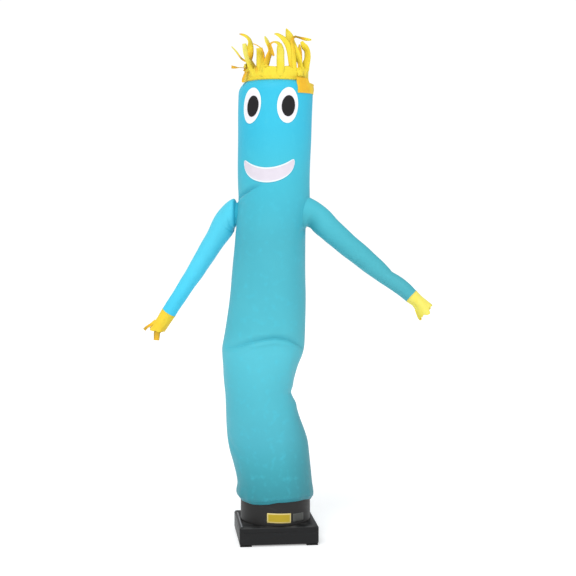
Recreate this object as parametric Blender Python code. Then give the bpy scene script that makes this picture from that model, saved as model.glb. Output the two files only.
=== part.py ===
# Inflatable air dancer on its blower: a cloth tube with a face, two sleeves with fringed
# cuffs and a fringe of hair, held up by the air of a low square blower.
# Metres, +Z up, front towards -Y. Every size is taken from the blower's centre at floor level.

import math

import bmesh
import bpy
from mathutils import Matrix, Vector

MM = 0.001
CLOTH = 2.0 * MM            # the body's and the sleeves' cloth
PATCH = 1.2 * MM            # the sewn-on face
SEAT = 0.5 * MM             # the gap between a sewn piece and what carries it
SEGMENTS = 36               # around the body and the collar
SLEEVE_SEGMENTS = 16
RING_STEP = 0.052           # tallest step between two rings of the body

# Blower: a low housing on four feet, with a round collar that the body slips over
HOUSING_SIDE = 0.340
HOUSING_TOP = 0.083
HOUSING_ROUND = 0.009
FOOT_SIDE = 0.050
FOOT_HEIGHT = 0.005
FOOT_INSET = 0.003
COLLAR_RADIUS = 0.1525
COLLAR_WALL = 0.003
COLLAR_TOP = 0.225

# Stickers on the collar's front, plain: middle angle, arc in degrees, bottom, top, corner
STICKER = 0.6 * MM
YELLOW_STICKER = {"angle": 270.3, "arc": 39.4, "bottom": 0.095, "top": 0.137}
GREY_STICKER = {"angle": 304.9, "arc": 21.8, "bottom": 0.097, "top": 0.131}

# Body, a row for each section: height, left edge, right edge, half depth
HEM = COLLAR_RADIUS + SEAT + CLOTH
RIM_HEIGHT = 1.980
BODY_SECTIONS = [
    (RIM_HEIGHT, -0.1340, 0.1440, 0.1390),
    (1.969, -0.1440, 0.1545, 0.1500),
    (1.952, -0.1545, 0.1620, 0.1590),
    (1.930, -0.1590, 0.1625, 0.1610),
    (1.779, -0.1615, 0.1570, 0.1610),
    (1.650, -0.1615, 0.1530, 0.1630),
    (1.542, -0.1620, 0.1490, 0.1640),
    (1.477, -0.1605, 0.1485, 0.1650),
    (1.412, -0.1640, 0.1410, 0.1660),
    (1.347, -0.1710, 0.1315, 0.1670),
    (1.172, -0.1865, 0.1315, 0.1600),
    (0.998, -0.2065, 0.1315, 0.1510),
    (0.910, -0.2200, 0.1295, 0.1465),
    (0.883, -0.2250, 0.1282, 0.1440),
    (0.836, -0.2330, 0.1250, 0.1410),
    (0.801, -0.2320, 0.1165, 0.1440),
    (0.757, -0.2280, 0.0990, 0.1500),
    (0.700, -0.2255, 0.0830, 0.1520),
    (0.660, -0.2225, 0.0715, 0.1530),
    (0.643, -0.2205, 0.0670, 0.1530),
    (0.626, -0.2195, 0.0710, 0.1530),
    (0.537, -0.2155, 0.1035, 0.1550),
    (0.471, -0.2120, 0.1285, 0.1500),
    (0.427, -0.2075, 0.1415, 0.1470),
    (0.383, -0.1990, 0.1475, 0.1490),
    (0.339, -0.1860, 0.1520, 0.1530),
    (0.250, -0.1670, 0.1605, 0.1610),
    (0.206, -0.1705, 0.1660, 0.1655),
    (0.188, -0.1690, 0.1655, 0.1655),
    (0.178, -0.1610, 0.1600, 0.1605),
    (0.168, -HEM, HEM, HEM),
]

# The hem rides up the collar unevenly: angle, and how far its edge is raised
HEM_RISES = [
    (0, 0.0160), (60, 0.0140), (120, 0.0110), (174, 0.0090), (198, 0.0060), (213, 0.0040),
    (226, 0.0015), (240, 0.0040), (252, 0.0070), (260, 0.0120), (268, 0.0155), (300, 0.0160),
    (360, 0.0160),
]
HEM_RISE_END = 0.250         # no part of the body above this height is raised with it

# Creases pressed into the body, a row each: angle and height where it starts, peaks and
# ends, then half width, depth, and the ridge that swells below it
CREASES = [
    {"angles": (198, 280, 350), "heights": (0.835, 0.884, 0.832), "width": 0.013,
     "depth": 0.008, "ridge": 0.005},
    {"angles": (184, 204, 226), "heights": (1.484, 1.500, 1.526), "width": 0.016,
     "depth": 0.007, "ridge": 0.003},
    {"angles": (305, 345, 395), "heights": (0.700, 0.650, 0.655), "width": 0.024,
     "depth": 0.006, "ridge": 0.002},
]
CREASE_RING_STEP = 0.013
SWELL = 1.2 * MM            # slow unevenness of the filled cloth
SWELL_START = 0.30          # no swell below this height, where the hem hugs the collar

# Sleeves, a row for each ring: x, y, height, half width
LEFT_SLEEVE = {
    "angle": 163.0, "height": 1.421, "half_height": 0.0640, "half_depth": 0.0480,
    "rings": [
        (-0.1940, 0.0560, 1.4080, 0.0570),
        (-0.2230, 0.0745, 1.3640, 0.0495),
        (-0.2520, 0.0930, 1.3130, 0.0468),
        (-0.2851, 0.1150, 1.2585, 0.0460),
        (-0.3373, 0.1450, 1.1693, 0.0427),
        (-0.3947, 0.1740, 1.0793, 0.0388),
        (-0.4615, 0.2027, 0.9755, 0.0332),
    ],
}
RIGHT_SLEEVE = {
    "angle": -18.0, "height": 1.417, "half_height": 0.0650, "half_depth": 0.0500,
    "rings": [
        (0.1680, -0.0530, 1.3960, 0.0600),
        (0.2130, -0.0660, 1.3640, 0.0555),
        (0.2751, -0.0830, 1.3071, 0.0505),
        (0.3400, -0.0990, 1.2510, 0.0465),
        (0.4182, -0.1180, 1.1848, 0.0419),
        (0.4584, -0.1290, 1.1474, 0.0375),
        (0.5180, -0.1470, 1.1032, 0.0372),
        (0.5716, -0.1647, 1.0607, 0.0305),
    ],
}
ROOT_HOLE_SHARE = 0.86      # the hole in the body, as a share of the sleeve's inside

# Face on the body's front, turned a little to the left
FACE_ANGLE = 254.4
EYE_SPREAD = 29.6
EYE_HEIGHT = 1.870
EYE_HALF = (0.0490, 0.0765)
PUPIL_HALF = (0.0305, 0.0455)
PUPIL_SHIFT = (0.003, -0.003)
EYE_LEAN = 0.03
MOUTH_ANGLE = 253.2
MOUTH_HALF_WIDTH = 0.1235
MOUTH_TOP = 1.6080          # middle of the upper edge
MOUTH_BOTTOM = 1.5455
MOUTH_CORNER = 1.6440       # upper edge at the corners
MOUTH_CORNER_DROP = 0.014   # lower edge under it at the corners

# Hair: a band on the head's rim, slit into strips. A row for each strip, counted round
# from the right: bend and tip as right, back, up in mm from the root, and twist in degrees
HAIR_BAND = 0.040
HAIR_STRIPS = [
    {"bend": (-30, 15, 110), "tip": (4, 34, 132), "twist": 10},
    {"bend": (16, 10, 50), "tip": (30, 24, 92), "twist": 20},
    {"bend": (4, 20, 70), "tip": (22, 48, 104), "twist": -25},
    {"bend": (6, 14, 60), "tip": (-12, 52, 120), "twist": 30},
    {"bend": (-4, 20, 66), "tip": (6, 66, 86), "twist": 15},
    {"bend": (2, 14, 84), "tip": (-16, 44, 138), "twist": -20},
    {"bend": (-6, 26, 60), "tip": (-4, 74, 78), "twist": 10},
    {"bend": (-4, 12, 70), "tip": (-22, 34, 112), "twist": 25},
    {"bend": (-12, 16, 52), "tip": (-30, 48, 84), "twist": -30},
    {"bend": (-10, 8, 66), "tip": (-42, 26, 104), "twist": 20},
    {"bend": (-12, 4, 44), "tip": (-50, 18, 66), "twist": 15},
    {"bend": (-12, 2, 30), "tip": (-60, 4, 26), "twist": 8},
    {"bend": (-20, -2, 56), "tip": (-62, -10, 112), "twist": 12},
    {"bend": (12, -6, 160), "tip": (-50, -22, 160), "twist": 50},
    {"bend": (2, -6, 62), "tip": (20, -14, 108), "twist": -15},
    {"bend": (12, -4, 90), "tip": (-8, -18, 156), "twist": 20},
    {"bend": (-4, 14, 40), "tip": (-8, 46, 64), "twist": 10},
    {"bend": (6, -14, 164), "tip": (-66, -34, 134), "twist": 62},
    {"bend": (6, 14, 176), "tip": (-72, 34, 160), "twist": 70},
    {"bend": (-12, 10, 116), "tip": (-56, 34, 192), "twist": 45},
    {"bend": (-14, 8, 64), "tip": (-26, 16, 118), "twist": -20},
    {"bend": (18, -4, 84), "tip": (-18, -8, 140), "twist": 30},
]
STRIP_SHARE = 0.86          # share of the pitch that a strip is wide at its root
STRIP_END = 0.55            # width of its tip, as a share of its root
HAIR_STEPS = 6

# Tab: a folded strip sewn over the rim's right side
TAB_ANGLES = (-59.0, 14.0)
TAB_HEIGHTS = (1.931, 1.977)
TAB_FLARE = 0.005

# Cuffs, slit into fingers. A row for each finger: bend and tip as forward along the
# sleeve, up across it and sideways in mm, and twist in degrees
CUFF_BAND = 0.052
LEFT_FINGERS = [
    {"bend": (20, 8, 0), "tip": (44, 26, 2), "twist": 10},
    {"bend": (22, 2, 10), "tip": (50, 2, 18), "twist": -15},
    {"bend": (24, -4, 4), "tip": (54, -6, 10), "twist": 20},
    {"bend": (18, -8, -4), "tip": (40, -18, -6), "twist": 10},
    {"bend": (24, 2, -8), "tip": (58, 4, -14), "twist": -20},
]
RIGHT_FINGERS = [
    {"bend": (16, 4, 0), "tip": (40, 6, 4), "twist": 10},
    {"bend": (18, 0, 8), "tip": (42, -4, 12), "twist": -10},
    {"bend": (16, -8, 4), "tip": (34, -26, 6), "twist": 15},
    {"bend": (18, -6, -4), "tip": (38, -18, -8), "twist": -15},
    {"bend": (18, 2, -8), "tip": (42, 4, -10), "twist": 10},
]
FINGER_STEPS = 4

# Colour, roughness, metallic
FINISHES = {
    "body_cloth": ((0.075, 0.560, 0.760, 1.0), 0.62, 0.0),
    "hair_cloth": ((0.980, 0.720, 0.060, 1.0), 0.60, 0.0),
    "tab_cloth": ((0.960, 0.500, 0.040, 1.0), 0.60, 0.0),
    "white_cloth": ((0.880, 0.870, 0.900, 1.0), 0.60, 0.0),
    "black_cloth": ((0.028, 0.024, 0.026, 1.0), 0.70, 0.0),
    "black_plastic": ((0.022, 0.022, 0.024, 1.0), 0.50, 0.0),
    "foot_rubber": ((0.012, 0.012, 0.012, 1.0), 0.80, 0.0),
    "yellow_sticker": ((0.560, 0.400, 0.020, 1.0), 0.40, 0.0),
    "grey_sticker": ((0.095, 0.095, 0.105, 1.0), 0.40, 0.0),
}


def clear_scene():
    for thing in list(bpy.data.objects):
        bpy.data.objects.remove(thing, do_unlink=True)


def finish(name):
    if name in bpy.data.materials:
        return bpy.data.materials[name]
    colour, roughness, metallic = FINISHES[name]
    material = bpy.data.materials.new(name)
    material.use_nodes = True
    shader = material.node_tree.nodes["Principled BSDF"]
    shader.inputs["Base Color"].default_value = colour
    shader.inputs["Roughness"].default_value = roughness
    shader.inputs["Metallic"].default_value = metallic
    material.diffuse_color = colour
    return material


def add_object(name, shape, material, smooth_angle=40.0):
    # Turns a bmesh into a named object with its faces out
    bmesh.ops.recalc_face_normals(shape, faces=shape.faces)
    mesh = bpy.data.meshes.new(name)
    shape.to_mesh(mesh)
    shape.free()
    mesh.shade_smooth()
    mesh.set_sharp_from_angle(angle=math.radians(smooth_angle))
    mesh.materials.append(finish(material))
    thing = bpy.data.objects.new(name, mesh)
    bpy.context.collection.objects.link(thing)
    return thing


# Body surface

def eased(rows, height):
    # The section at a height, on a smooth curve through the table's rows
    rows = sorted(rows)
    last = len(rows) - 1
    height = min(max(height, rows[0][0]), rows[last][0])
    index = max(i for i in range(last) if rows[i][0] <= height)
    low, high = rows[index], rows[index + 1]
    before, after = rows[max(index - 1, 0)], rows[min(index + 2, last)]
    span = high[0] - low[0]
    t = (height - low[0]) / span
    values = []
    for column in range(1, len(low)):
        slope_low = (high[column] - before[column]) / (high[0] - before[0]) * span
        slope_high = (after[column] - low[column]) / (after[0] - low[0]) * span
        values.append((2 * t**3 - 3 * t**2 + 1) * low[column] + (t**3 - 2 * t**2 + t) * slope_low
                      + (3 * t**2 - 2 * t**3) * high[column] + (t**3 - t**2) * slope_high)
    return values


def through_three(values, t):
    # A parabola through the start, the middle and the end
    start, middle, end = values
    return start * (1 - t) * (1 - 2 * t) + middle * 4 * t * (1 - t) + end * t * (2 * t - 1)


def crease_depth(angle, height):
    depth = 0.0
    for crease in CREASES:
        start, middle, end = crease["angles"]
        turn = angle % 360
        if turn < end - 360:
            turn += 360
        if not start < turn < end:
            continue
        # Share of the way along, which is half at the middle angle
        if turn < middle:
            t = 0.5 * (turn - start) / (middle - start)
        else:
            t = 0.5 + 0.5 * (turn - middle) / (end - middle)
        across = (height - through_three(crease["heights"], t)) / crease["width"]
        fade = math.sin(math.pi * t) ** 0.7
        depth += crease["depth"] * fade * math.exp(-across * across)
        depth -= crease["ridge"] * fade * math.exp(-(across + 2.0) ** 2 / 2.5)
    return depth


def swell(angle, height):
    turn = math.radians(angle)
    rise = min(max((height - SWELL_START) / 0.2, 0.0), 1.0)
    fall = min(max((RIM_HEIGHT - height) / 0.1, 0.0), 1.0)
    return SWELL * rise * fall * math.sin(2 * turn + 5.1 * height) * math.cos(turn - 9.3 * height)


def hem_rise(angle, height):
    turn = angle % 360
    share = min(max((HEM_RISE_END - height) / (HEM_RISE_END - BODY_SECTIONS[-1][0]), 0.0), 1.0)
    for (start, low), (end, high) in zip(HEM_RISES, HEM_RISES[1:]):
        if start <= turn <= end:
            rise = low + (high - low) * (turn - start) / (end - start)
    return rise * share * share * (3 - 2 * share)


def body_point(angle, height, out=0.0):
    # A point on the body's outer face, or out from it
    left, right, half_depth = eased(BODY_SECTIONS, height)
    turn = math.radians(angle)
    half_width = (right - left) / 2
    grow = out + swell(angle, height) - crease_depth(angle, height)
    x = (left + right) / 2 + (half_width + grow) * math.cos(turn)
    y = (half_depth + grow) * math.sin(turn)
    return Vector((x, y, height + hem_rise(angle, height)))


def ring_heights():
    heights = {row[0] for row in BODY_SECTIONS}
    for crease in CREASES:
        low, high = min(crease["heights"]), max(crease["heights"])
        count = round((high - low + 2 * crease["width"]) / CREASE_RING_STEP)
        for step in range(count + 1):
            heights.add(low - crease["width"] + step * CREASE_RING_STEP)
    kept = []
    for height in sorted(heights):
        if kept and height - kept[-1] < 0.6 * CREASE_RING_STEP and height > SWELL_START:
            continue
        kept.append(height)
    if kept[-1] < RIM_HEIGHT:
        kept[-1] = RIM_HEIGHT
    full = [kept[0]]
    for height in kept[1:]:
        steps = math.ceil((height - full[-1]) / RING_STEP)
        start = full[-1]
        full.extend(start + (height - start) * step / steps for step in range(1, steps + 1))
    return full


# Closed shells

def add_loop(shape, points):
    return [shape.verts.new(point) for point in points]


def skin(shape, first, second):
    count = len(first)
    for i in range(count):
        j = (i + 1) % count
        shape.faces.new((first[i], first[j], second[j], second[i]))


def skin_strip(shape, first, second):
    # A flat strip's four sides: its two wide faces share one diagonal, so a twist keeps
    # them apart
    shape.faces.new((first[0], first[1], second[1]))
    shape.faces.new((first[0], second[1], second[0]))
    shape.faces.new((first[2], first[3], second[2]))
    shape.faces.new((first[3], second[3], second[2]))
    for i, j in ((1, 2), (3, 0)):
        shape.faces.new((first[i], first[j], second[j], second[i]))


def double_wall(name, outer, inner, material):
    # A tube of cloth: rings of the outer face, rings of the inner face, joined at both ends
    shape = bmesh.new()
    outer_loops = [add_loop(shape, ring) for ring in outer]
    inner_loops = [add_loop(shape, ring) for ring in inner]
    for loops in (outer_loops, inner_loops):
        for first, second in zip(loops, loops[1:]):
            skin(shape, first, second)
    skin(shape, outer_loops[0], inner_loops[0])
    skin(shape, outer_loops[-1], inner_loops[-1])
    return add_object(name, shape, material)


def closed_sheet(name, columns, material):
    # A sheet from a grid of (under, upper) point pairs, column by column
    shape = bmesh.new()
    under = [[shape.verts.new(pair[0]) for pair in column] for column in columns]
    upper = [[shape.verts.new(pair[1]) for pair in column] for column in columns]
    for side in (under, upper):
        for first, second in zip(side, side[1:]):
            for i in range(len(first) - 1):
                shape.faces.new((first[i], first[i + 1], second[i + 1], second[i]))
    edge = [(c, 0) for c in range(len(columns))]
    edge += [(len(columns) - 1, r) for r in range(1, len(columns[0]))]
    edge += [(c, len(columns[0]) - 1) for c in range(len(columns) - 2, -1, -1)]
    edge += [(0, r) for r in range(len(columns[0]) - 2, 0, -1)]
    low = [under[c][r] for c, r in edge]
    high = [upper[c][r] for c, r in edge]
    skin(shape, low, high)
    return add_object(name, shape, material)


# Body and sleeves

def make_body():
    turns = [360 * i / SEGMENTS for i in range(SEGMENTS)]
    heights = ring_heights()
    outer = [[body_point(turn, height) for turn in turns] for height in heights]
    inner = [[body_point(turn, height, -CLOTH) for turn in turns] for height in heights]
    return double_wall("tube_body", outer, inner, "body_cloth")


def sleeve_frames(sleeve):
    # Centre, direction, up across and sideways, and half width of each ring
    rings = sleeve["rings"]
    root = body_point(sleeve["angle"], sleeve["height"])
    centres = [root] + [Vector(row[:3]) for row in rings]
    frames = []
    for i, row in enumerate(rings):
        # The first ring faces straight out of the body
        ahead = centres[min(i + 2, len(rings))] if i else centres[1]
        along = (ahead - centres[i]).normalized()
        up = (Vector((0, 0, 1)) - along * along.z).normalized()
        frames.append((centres[i + 1], along, up, along.cross(up), row[3]))
    return frames


def frame_ring(frame, inset, ahead=0.0):
    centre, along, up, side, half = frame
    points = []
    for i in range(SLEEVE_SEGMENTS):
        turn = 2 * math.pi * i / SLEEVE_SEGMENTS
        across = up * math.cos(turn) + side * math.sin(turn)
        points.append(centre + along * ahead + across * (half - inset))
    return points


def root_ring(sleeve, inset, out):
    # The sleeve's end, cut to lie on the body
    frame = sleeve_frames(sleeve)[0]
    middle = body_point(sleeve["angle"], sleeve["height"])
    radius = (middle - Vector((body_centre_x(sleeve["height"]), 0, middle.z))).length
    outward = (Vector((frame[0].x, frame[0].y, 0)) - Vector((middle.x, middle.y, 0))).normalized()
    hand = 1 if frame[3].dot(Vector((-outward.y, outward.x, 0))) > 0 else -1
    points = []
    for i in range(SLEEVE_SEGMENTS):
        turn = 2 * math.pi * i / SLEEVE_SEGMENTS
        aside = hand * (sleeve["half_depth"] - inset) * math.sin(turn) / radius
        height = sleeve["height"] + (sleeve["half_height"] - inset) * math.cos(turn)
        points.append(body_point(sleeve["angle"] + math.degrees(aside), height, out))
    return points


def body_centre_x(height):
    left, right, _ = eased(BODY_SECTIONS, height)
    return (left + right) / 2


def make_sleeve(name, sleeve):
    frames = sleeve_frames(sleeve)
    outer = [root_ring(sleeve, 0.0, 2 * SEAT)]
    inner = [root_ring(sleeve, CLOTH, 2 * SEAT)]
    for frame in frames:
        outer.append(frame_ring(frame, 0.0))
        inner.append(frame_ring(frame, CLOTH))
    return double_wall(name, outer, inner, "body_cloth")


def cut_sleeve_hole(body, name, sleeve):
    # The hole that lets the air into a sleeve
    inset = CLOTH + (1 - ROOT_HOLE_SHARE) * sleeve["half_depth"]
    shape = bmesh.new()
    near = add_loop(shape, root_ring(sleeve, inset, -8 * CLOTH))
    far = add_loop(shape, root_ring(sleeve, inset, 4 * CLOTH))
    skin(shape, near, far)
    shape.faces.new(near)
    shape.faces.new(far)
    cutter = add_object(name, shape, "body_cloth")
    cutter.hide_render = True
    cutter.display_type = "WIRE"
    hole = body.modifiers.new(name, "BOOLEAN")
    hole.object = cutter
    hole.operation = "DIFFERENCE"
    return cutter


# Fringes

def strip_sections(root, bend, tip, along, across, half_width, thick, twist, steps):
    # Cross-sections of a strip that bows from its root over the bend to the tip
    sections = []
    for step in range(1, steps + 1):
        t = step / steps
        centre = root + bend * (2 * t * (1 - t)) + tip * (t * t)
        heading = (bend * (2 - 4 * t) + tip * (2 * t)).normalized()
        wide = (across - heading * across.dot(heading)).normalized()
        wide = Matrix.Rotation(math.radians(twist) * min(1.0, 2 * t), 3, heading) @ wide
        flat = wide.cross(heading)
        half = half_width * (1 - (1 - STRIP_END) * t * t)
        sections.append([
            centre - wide * half + flat * thick / 2,
            centre + wide * half + flat * thick / 2,
            centre + wide * half - flat * thick / 2,
            centre - wide * half - flat * thick / 2,
        ])
    return sections


def fringed_band(name, band_point, band_height, axes, strips, steps, thick, material):
    # A band whose upper edge is slit into strips; band_point(turn, level, inset)
    pitch = 2 * math.pi / len(strips)
    turns = []
    for i in range(len(strips)):
        turns += [pitch * (i - STRIP_SHARE / 2), pitch * (i + STRIP_SHARE / 2)]
    shape = bmesh.new()
    outer_low = add_loop(shape, [band_point(turn, 0.0, 0.0) for turn in turns])
    outer_top = add_loop(shape, [band_point(turn, band_height, 0.0) for turn in turns])
    inner_top = add_loop(shape, [band_point(turn, band_height, thick) for turn in turns])
    inner_low = add_loop(shape, [band_point(turn, 0.0, thick) for turn in turns])
    skin(shape, outer_low, outer_top)
    skin(shape, inner_top, inner_low)
    skin(shape, inner_low, outer_low)
    for i, strip in enumerate(strips):
        start, end, following = 2 * i, 2 * i + 1, (2 * i + 2) % len(turns)
        slit = (outer_top[end], outer_top[following], inner_top[following], inner_top[end])
        shape.faces.new(slit)
        section = [outer_top[start], outer_top[end], inner_top[end], inner_top[start]]
        across = outer_top[end].co - outer_top[start].co
        root = sum((corner.co for corner in section), Vector()) / 4
        bend = sum((axis * value for axis, value in zip(axes, strip["bend"])), Vector()) * MM
        tip = sum((axis * value for axis, value in zip(axes, strip["tip"])), Vector()) * MM
        for points in strip_sections(root, bend, tip, axes[0], across.normalized(),
                                     across.length / 2, thick, strip["twist"], steps):
            corners = add_loop(shape, points)
            skin_strip(shape, section, corners)
            section = corners
        shape.faces.new(section)
    return add_object(name, shape, material)


def make_hair():
    def band_point(turn, level, inset):
        point = body_point(math.degrees(turn), RIM_HEIGHT, -inset)
        return point + Vector((0, 0, SEAT + level))

    axes = (Vector((1, 0, 0)), Vector((0, 1, 0)), Vector((0, 0, 1)))
    return fringed_band("hair_fringe", band_point, HAIR_BAND, axes, HAIR_STRIPS, HAIR_STEPS,
                        CLOTH, "hair_cloth")


def make_cuff(name, sleeve, fingers):
    frame = sleeve_frames(sleeve)[-1]
    centre, along, up, side, half = frame

    def band_point(turn, level, inset):
        across = up * math.cos(turn) + side * math.sin(turn)
        return centre + along * (SEAT + level) + across * (half - inset)

    return fringed_band(name, band_point, CUFF_BAND, (along, up, side), fingers, FINGER_STEPS,
                        CLOTH, "hair_cloth")


def make_tab():
    low, high = TAB_HEIGHTS
    start, end = TAB_ANGLES
    columns = []
    for i in range(9):
        angle = start + (end - start) * i / 8
        column = []
        for j in range(4):
            share = j / 3
            base = body_point(angle, low, 2 * SEAT)
            out = (base - body_point(angle, low)).normalized()
            rise = Vector((0, 0, (high - low) * share))
            near = base + rise + out * (TAB_FLARE * share * share * i / 8)
            column.append((near, near + out * PATCH))
        columns.append(column)
    return closed_sheet("hair_tab", columns, "tab_cloth")


# Face

def face_pair(angle, aside, height, out):
    # The under and upper point of a patch, aside along the cloth from a middle angle
    radius = (BODY_SECTIONS[4][2] - BODY_SECTIONS[4][1]) / 2
    turn = angle + math.degrees(aside / radius)
    return body_point(turn, height, out), body_point(turn, height, out + PATCH)


def make_oval(name, angle, middle, half, out, material):
    shape = bmesh.new()
    count = 20
    loops = []
    for layer in range(2):
        inner_loop = []
        outer_loop = []
        for i in range(count):
            turn = 2 * math.pi * i / count
            for share, loop in ((0.5, inner_loop), (1.0, outer_loop)):
                up = half[1] * share * math.sin(turn)
                aside = middle[0] + half[0] * share * math.cos(turn) + EYE_LEAN * up
                pair = face_pair(angle, aside, middle[1] + up, out)
                loop.append(shape.verts.new(pair[layer]))
        centre = shape.verts.new(face_pair(angle, middle[0], middle[1], out)[layer])
        for i in range(count):
            shape.faces.new((inner_loop[i], inner_loop[(i + 1) % count], centre))
        skin(shape, inner_loop, outer_loop)
        loops.append(outer_loop)
    skin(shape, loops[0], loops[1])
    return add_object(name, shape, material)


def make_mouth():
    columns = []
    count = 16
    for i in range(count + 1):
        # Columns close up towards the corners, where the crescent turns fastest
        share = math.sin(math.pi / 2 * (2 * i / count - 1))
        top = MOUTH_TOP + (MOUTH_CORNER - MOUTH_TOP) * share**2
        fall = 1 - math.sqrt(1 - share * share)
        bottom = MOUTH_BOTTOM + (MOUTH_CORNER - MOUTH_CORNER_DROP - MOUTH_BOTTOM) * fall
        column = []
        for j in range(4):
            height = bottom + (top - bottom) * j / 3
            column.append(face_pair(MOUTH_ANGLE, share * MOUTH_HALF_WIDTH, height, 2 * SEAT))
        columns.append(column)
    return closed_sheet("mouth", columns, "white_cloth")


def make_face():
    for side, sign in (("left", -1), ("right", 1)):
        angle = FACE_ANGLE + sign * EYE_SPREAD
        make_oval("eye_" + side, angle, (0.0, EYE_HEIGHT), EYE_HALF, 2 * SEAT, "white_cloth")
        middle = (PUPIL_SHIFT[0], EYE_HEIGHT + PUPIL_SHIFT[1])
        make_oval("pupil_" + side, angle, middle, PUPIL_HALF, 3.2 * SEAT + PATCH, "black_cloth")
    make_mouth()


# Blower

def make_box(name, size, centre, bevel, steps, material):
    shape = bmesh.new()
    bmesh.ops.create_cube(shape, size=1.0)
    bmesh.ops.scale(shape, vec=size, verts=shape.verts)
    bmesh.ops.bevel(shape, geom=shape.edges[:], offset=bevel, segments=steps, profile=0.5,
                    affect="EDGES")
    thing = add_object(name, shape, material)
    thing.location = centre
    return thing


def collar_point(angle, height, out=0.0):
    turn = math.radians(angle)
    reach = COLLAR_RADIUS + out
    return Vector((reach * math.cos(turn), reach * math.sin(turn), height))


def make_sticker(name, sticker, material):
    columns = []
    count = 8
    for i in range(count + 1):
        angle = sticker["angle"] + sticker["arc"] * (i / count - 0.5)
        column = []
        for height in (sticker["bottom"], sticker["top"]):
            under = collar_point(angle, height, SEAT)
            column.append((under, collar_point(angle, height, SEAT + STICKER)))
        columns.append(column)
    return closed_sheet(name, columns, material)


def make_blower():
    gap = 0.3 * MM
    floor = FOOT_HEIGHT + gap
    depth = HOUSING_TOP - floor
    make_box("blower_housing", (HOUSING_SIDE, HOUSING_SIDE, depth), (0, 0, floor + depth / 2),
             HOUSING_ROUND, 2, "black_plastic")
    reach = HOUSING_SIDE / 2 - FOOT_INSET - FOOT_SIDE / 2
    for front, y in (("front", -reach), ("back", reach)):
        for side, x in (("left", -reach), ("right", reach)):
            make_box("foot_" + front + "_" + side, (FOOT_SIDE, FOOT_SIDE, FOOT_HEIGHT),
                     (x, y, FOOT_HEIGHT / 2), 1.0 * MM, 1, "foot_rubber")
    turns = [360 * i / SEGMENTS for i in range(SEGMENTS)]
    heights = (HOUSING_TOP + gap, COLLAR_TOP)
    outer = [[collar_point(turn, height) for turn in turns] for height in heights]
    inner = [[collar_point(turn, height, -COLLAR_WALL) for turn in turns] for height in heights]
    double_wall("blower_collar", outer, inner, "black_plastic")
    make_sticker("sticker_yellow", YELLOW_STICKER, "yellow_sticker")
    make_sticker("sticker_grey", GREY_STICKER, "grey_sticker")


def centre_on_origin():
    # Everything hangs from one empty, moved so that the whole stands over the origin
    bpy.context.view_layer.update()
    shown = [thing for thing in bpy.context.scene.objects if not thing.hide_render]
    points = [thing.matrix_world @ corner.co for thing in shown for corner in thing.data.vertices]
    middle_x = (min(p.x for p in points) + max(p.x for p in points)) / 2
    middle_y = (min(p.y for p in points) + max(p.y for p in points)) / 2
    stand = bpy.data.objects.new("stand", None)
    bpy.context.collection.objects.link(stand)
    for thing in list(bpy.context.scene.objects):
        if thing is not stand:
            thing.parent = stand
    stand.location = (-middle_x, -middle_y, 0)


def main():
    clear_scene()
    body = make_body()
    make_sleeve("sleeve_left", LEFT_SLEEVE)
    make_sleeve("sleeve_right", RIGHT_SLEEVE)
    cut_sleeve_hole(body, "hole_left", LEFT_SLEEVE)
    cut_sleeve_hole(body, "hole_right", RIGHT_SLEEVE)
    make_cuff("cuff_left", LEFT_SLEEVE, LEFT_FINGERS)
    make_cuff("cuff_right", RIGHT_SLEEVE, RIGHT_FINGERS)
    make_hair()
    make_tab()
    make_face()
    make_blower()
    centre_on_origin()


main()
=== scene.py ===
import math

import bmesh
import bpy
import numpy as np
from mathutils import Matrix, Vector


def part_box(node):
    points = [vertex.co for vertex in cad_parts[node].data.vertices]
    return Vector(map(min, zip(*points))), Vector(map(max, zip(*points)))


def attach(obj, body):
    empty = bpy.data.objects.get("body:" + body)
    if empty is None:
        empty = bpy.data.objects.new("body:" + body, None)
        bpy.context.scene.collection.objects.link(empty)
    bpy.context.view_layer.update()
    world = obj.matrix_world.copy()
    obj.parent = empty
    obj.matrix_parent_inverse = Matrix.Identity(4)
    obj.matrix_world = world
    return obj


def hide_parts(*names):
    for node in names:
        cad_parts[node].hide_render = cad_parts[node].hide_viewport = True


# Inflatable air dancer: sewn nylon tube with sleeves, fringed cuffs and hair, on its blower.
# Metres, +Z up, front towards -Y. Heights count from the floor, the rest from the blower's middle.
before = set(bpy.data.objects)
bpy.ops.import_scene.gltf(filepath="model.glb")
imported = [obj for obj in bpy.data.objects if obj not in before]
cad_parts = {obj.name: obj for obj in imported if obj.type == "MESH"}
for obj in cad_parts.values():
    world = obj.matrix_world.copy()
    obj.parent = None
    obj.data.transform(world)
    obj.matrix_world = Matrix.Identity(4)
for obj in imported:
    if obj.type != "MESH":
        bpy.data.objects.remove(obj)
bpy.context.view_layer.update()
bpy.ops.object.select_all(action="DESELECT")
mm = 0.001
collarLow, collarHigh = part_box("blower_collar")
stand = Vector(((collarLow.x + collarHigh.x) / 2, (collarLow.y + collarHigh.y) / 2, 0))
standArray = np.array(stand)
viewTurn = 6.4      # degrees that the photographer stood to the left of the blower's front


# Materials

class Value:
    # A number socket that can be summed, multiplied and so on
    def __init__(self, maker, socket):
        self.maker = maker
        self.socket = socket

    def joined(self, operation, first, second):
        return self.maker.node("Math", {"operation": operation}, {0: first, 1: second})

    def __add__(self, other):
        return self.joined("ADD", self, other)

    def __sub__(self, other):
        return self.joined("SUBTRACT", self, other)

    def __rsub__(self, other):
        return self.joined("SUBTRACT", other, self)

    def __mul__(self, other):
        return self.joined("MULTIPLY", self, other)

    def __truediv__(self, other):
        return self.joined("DIVIDE", self, other)

    def __pow__(self, other):
        return self.joined("POWER", self, other)

    __radd__ = __add__
    __rmul__ = __mul__


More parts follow.
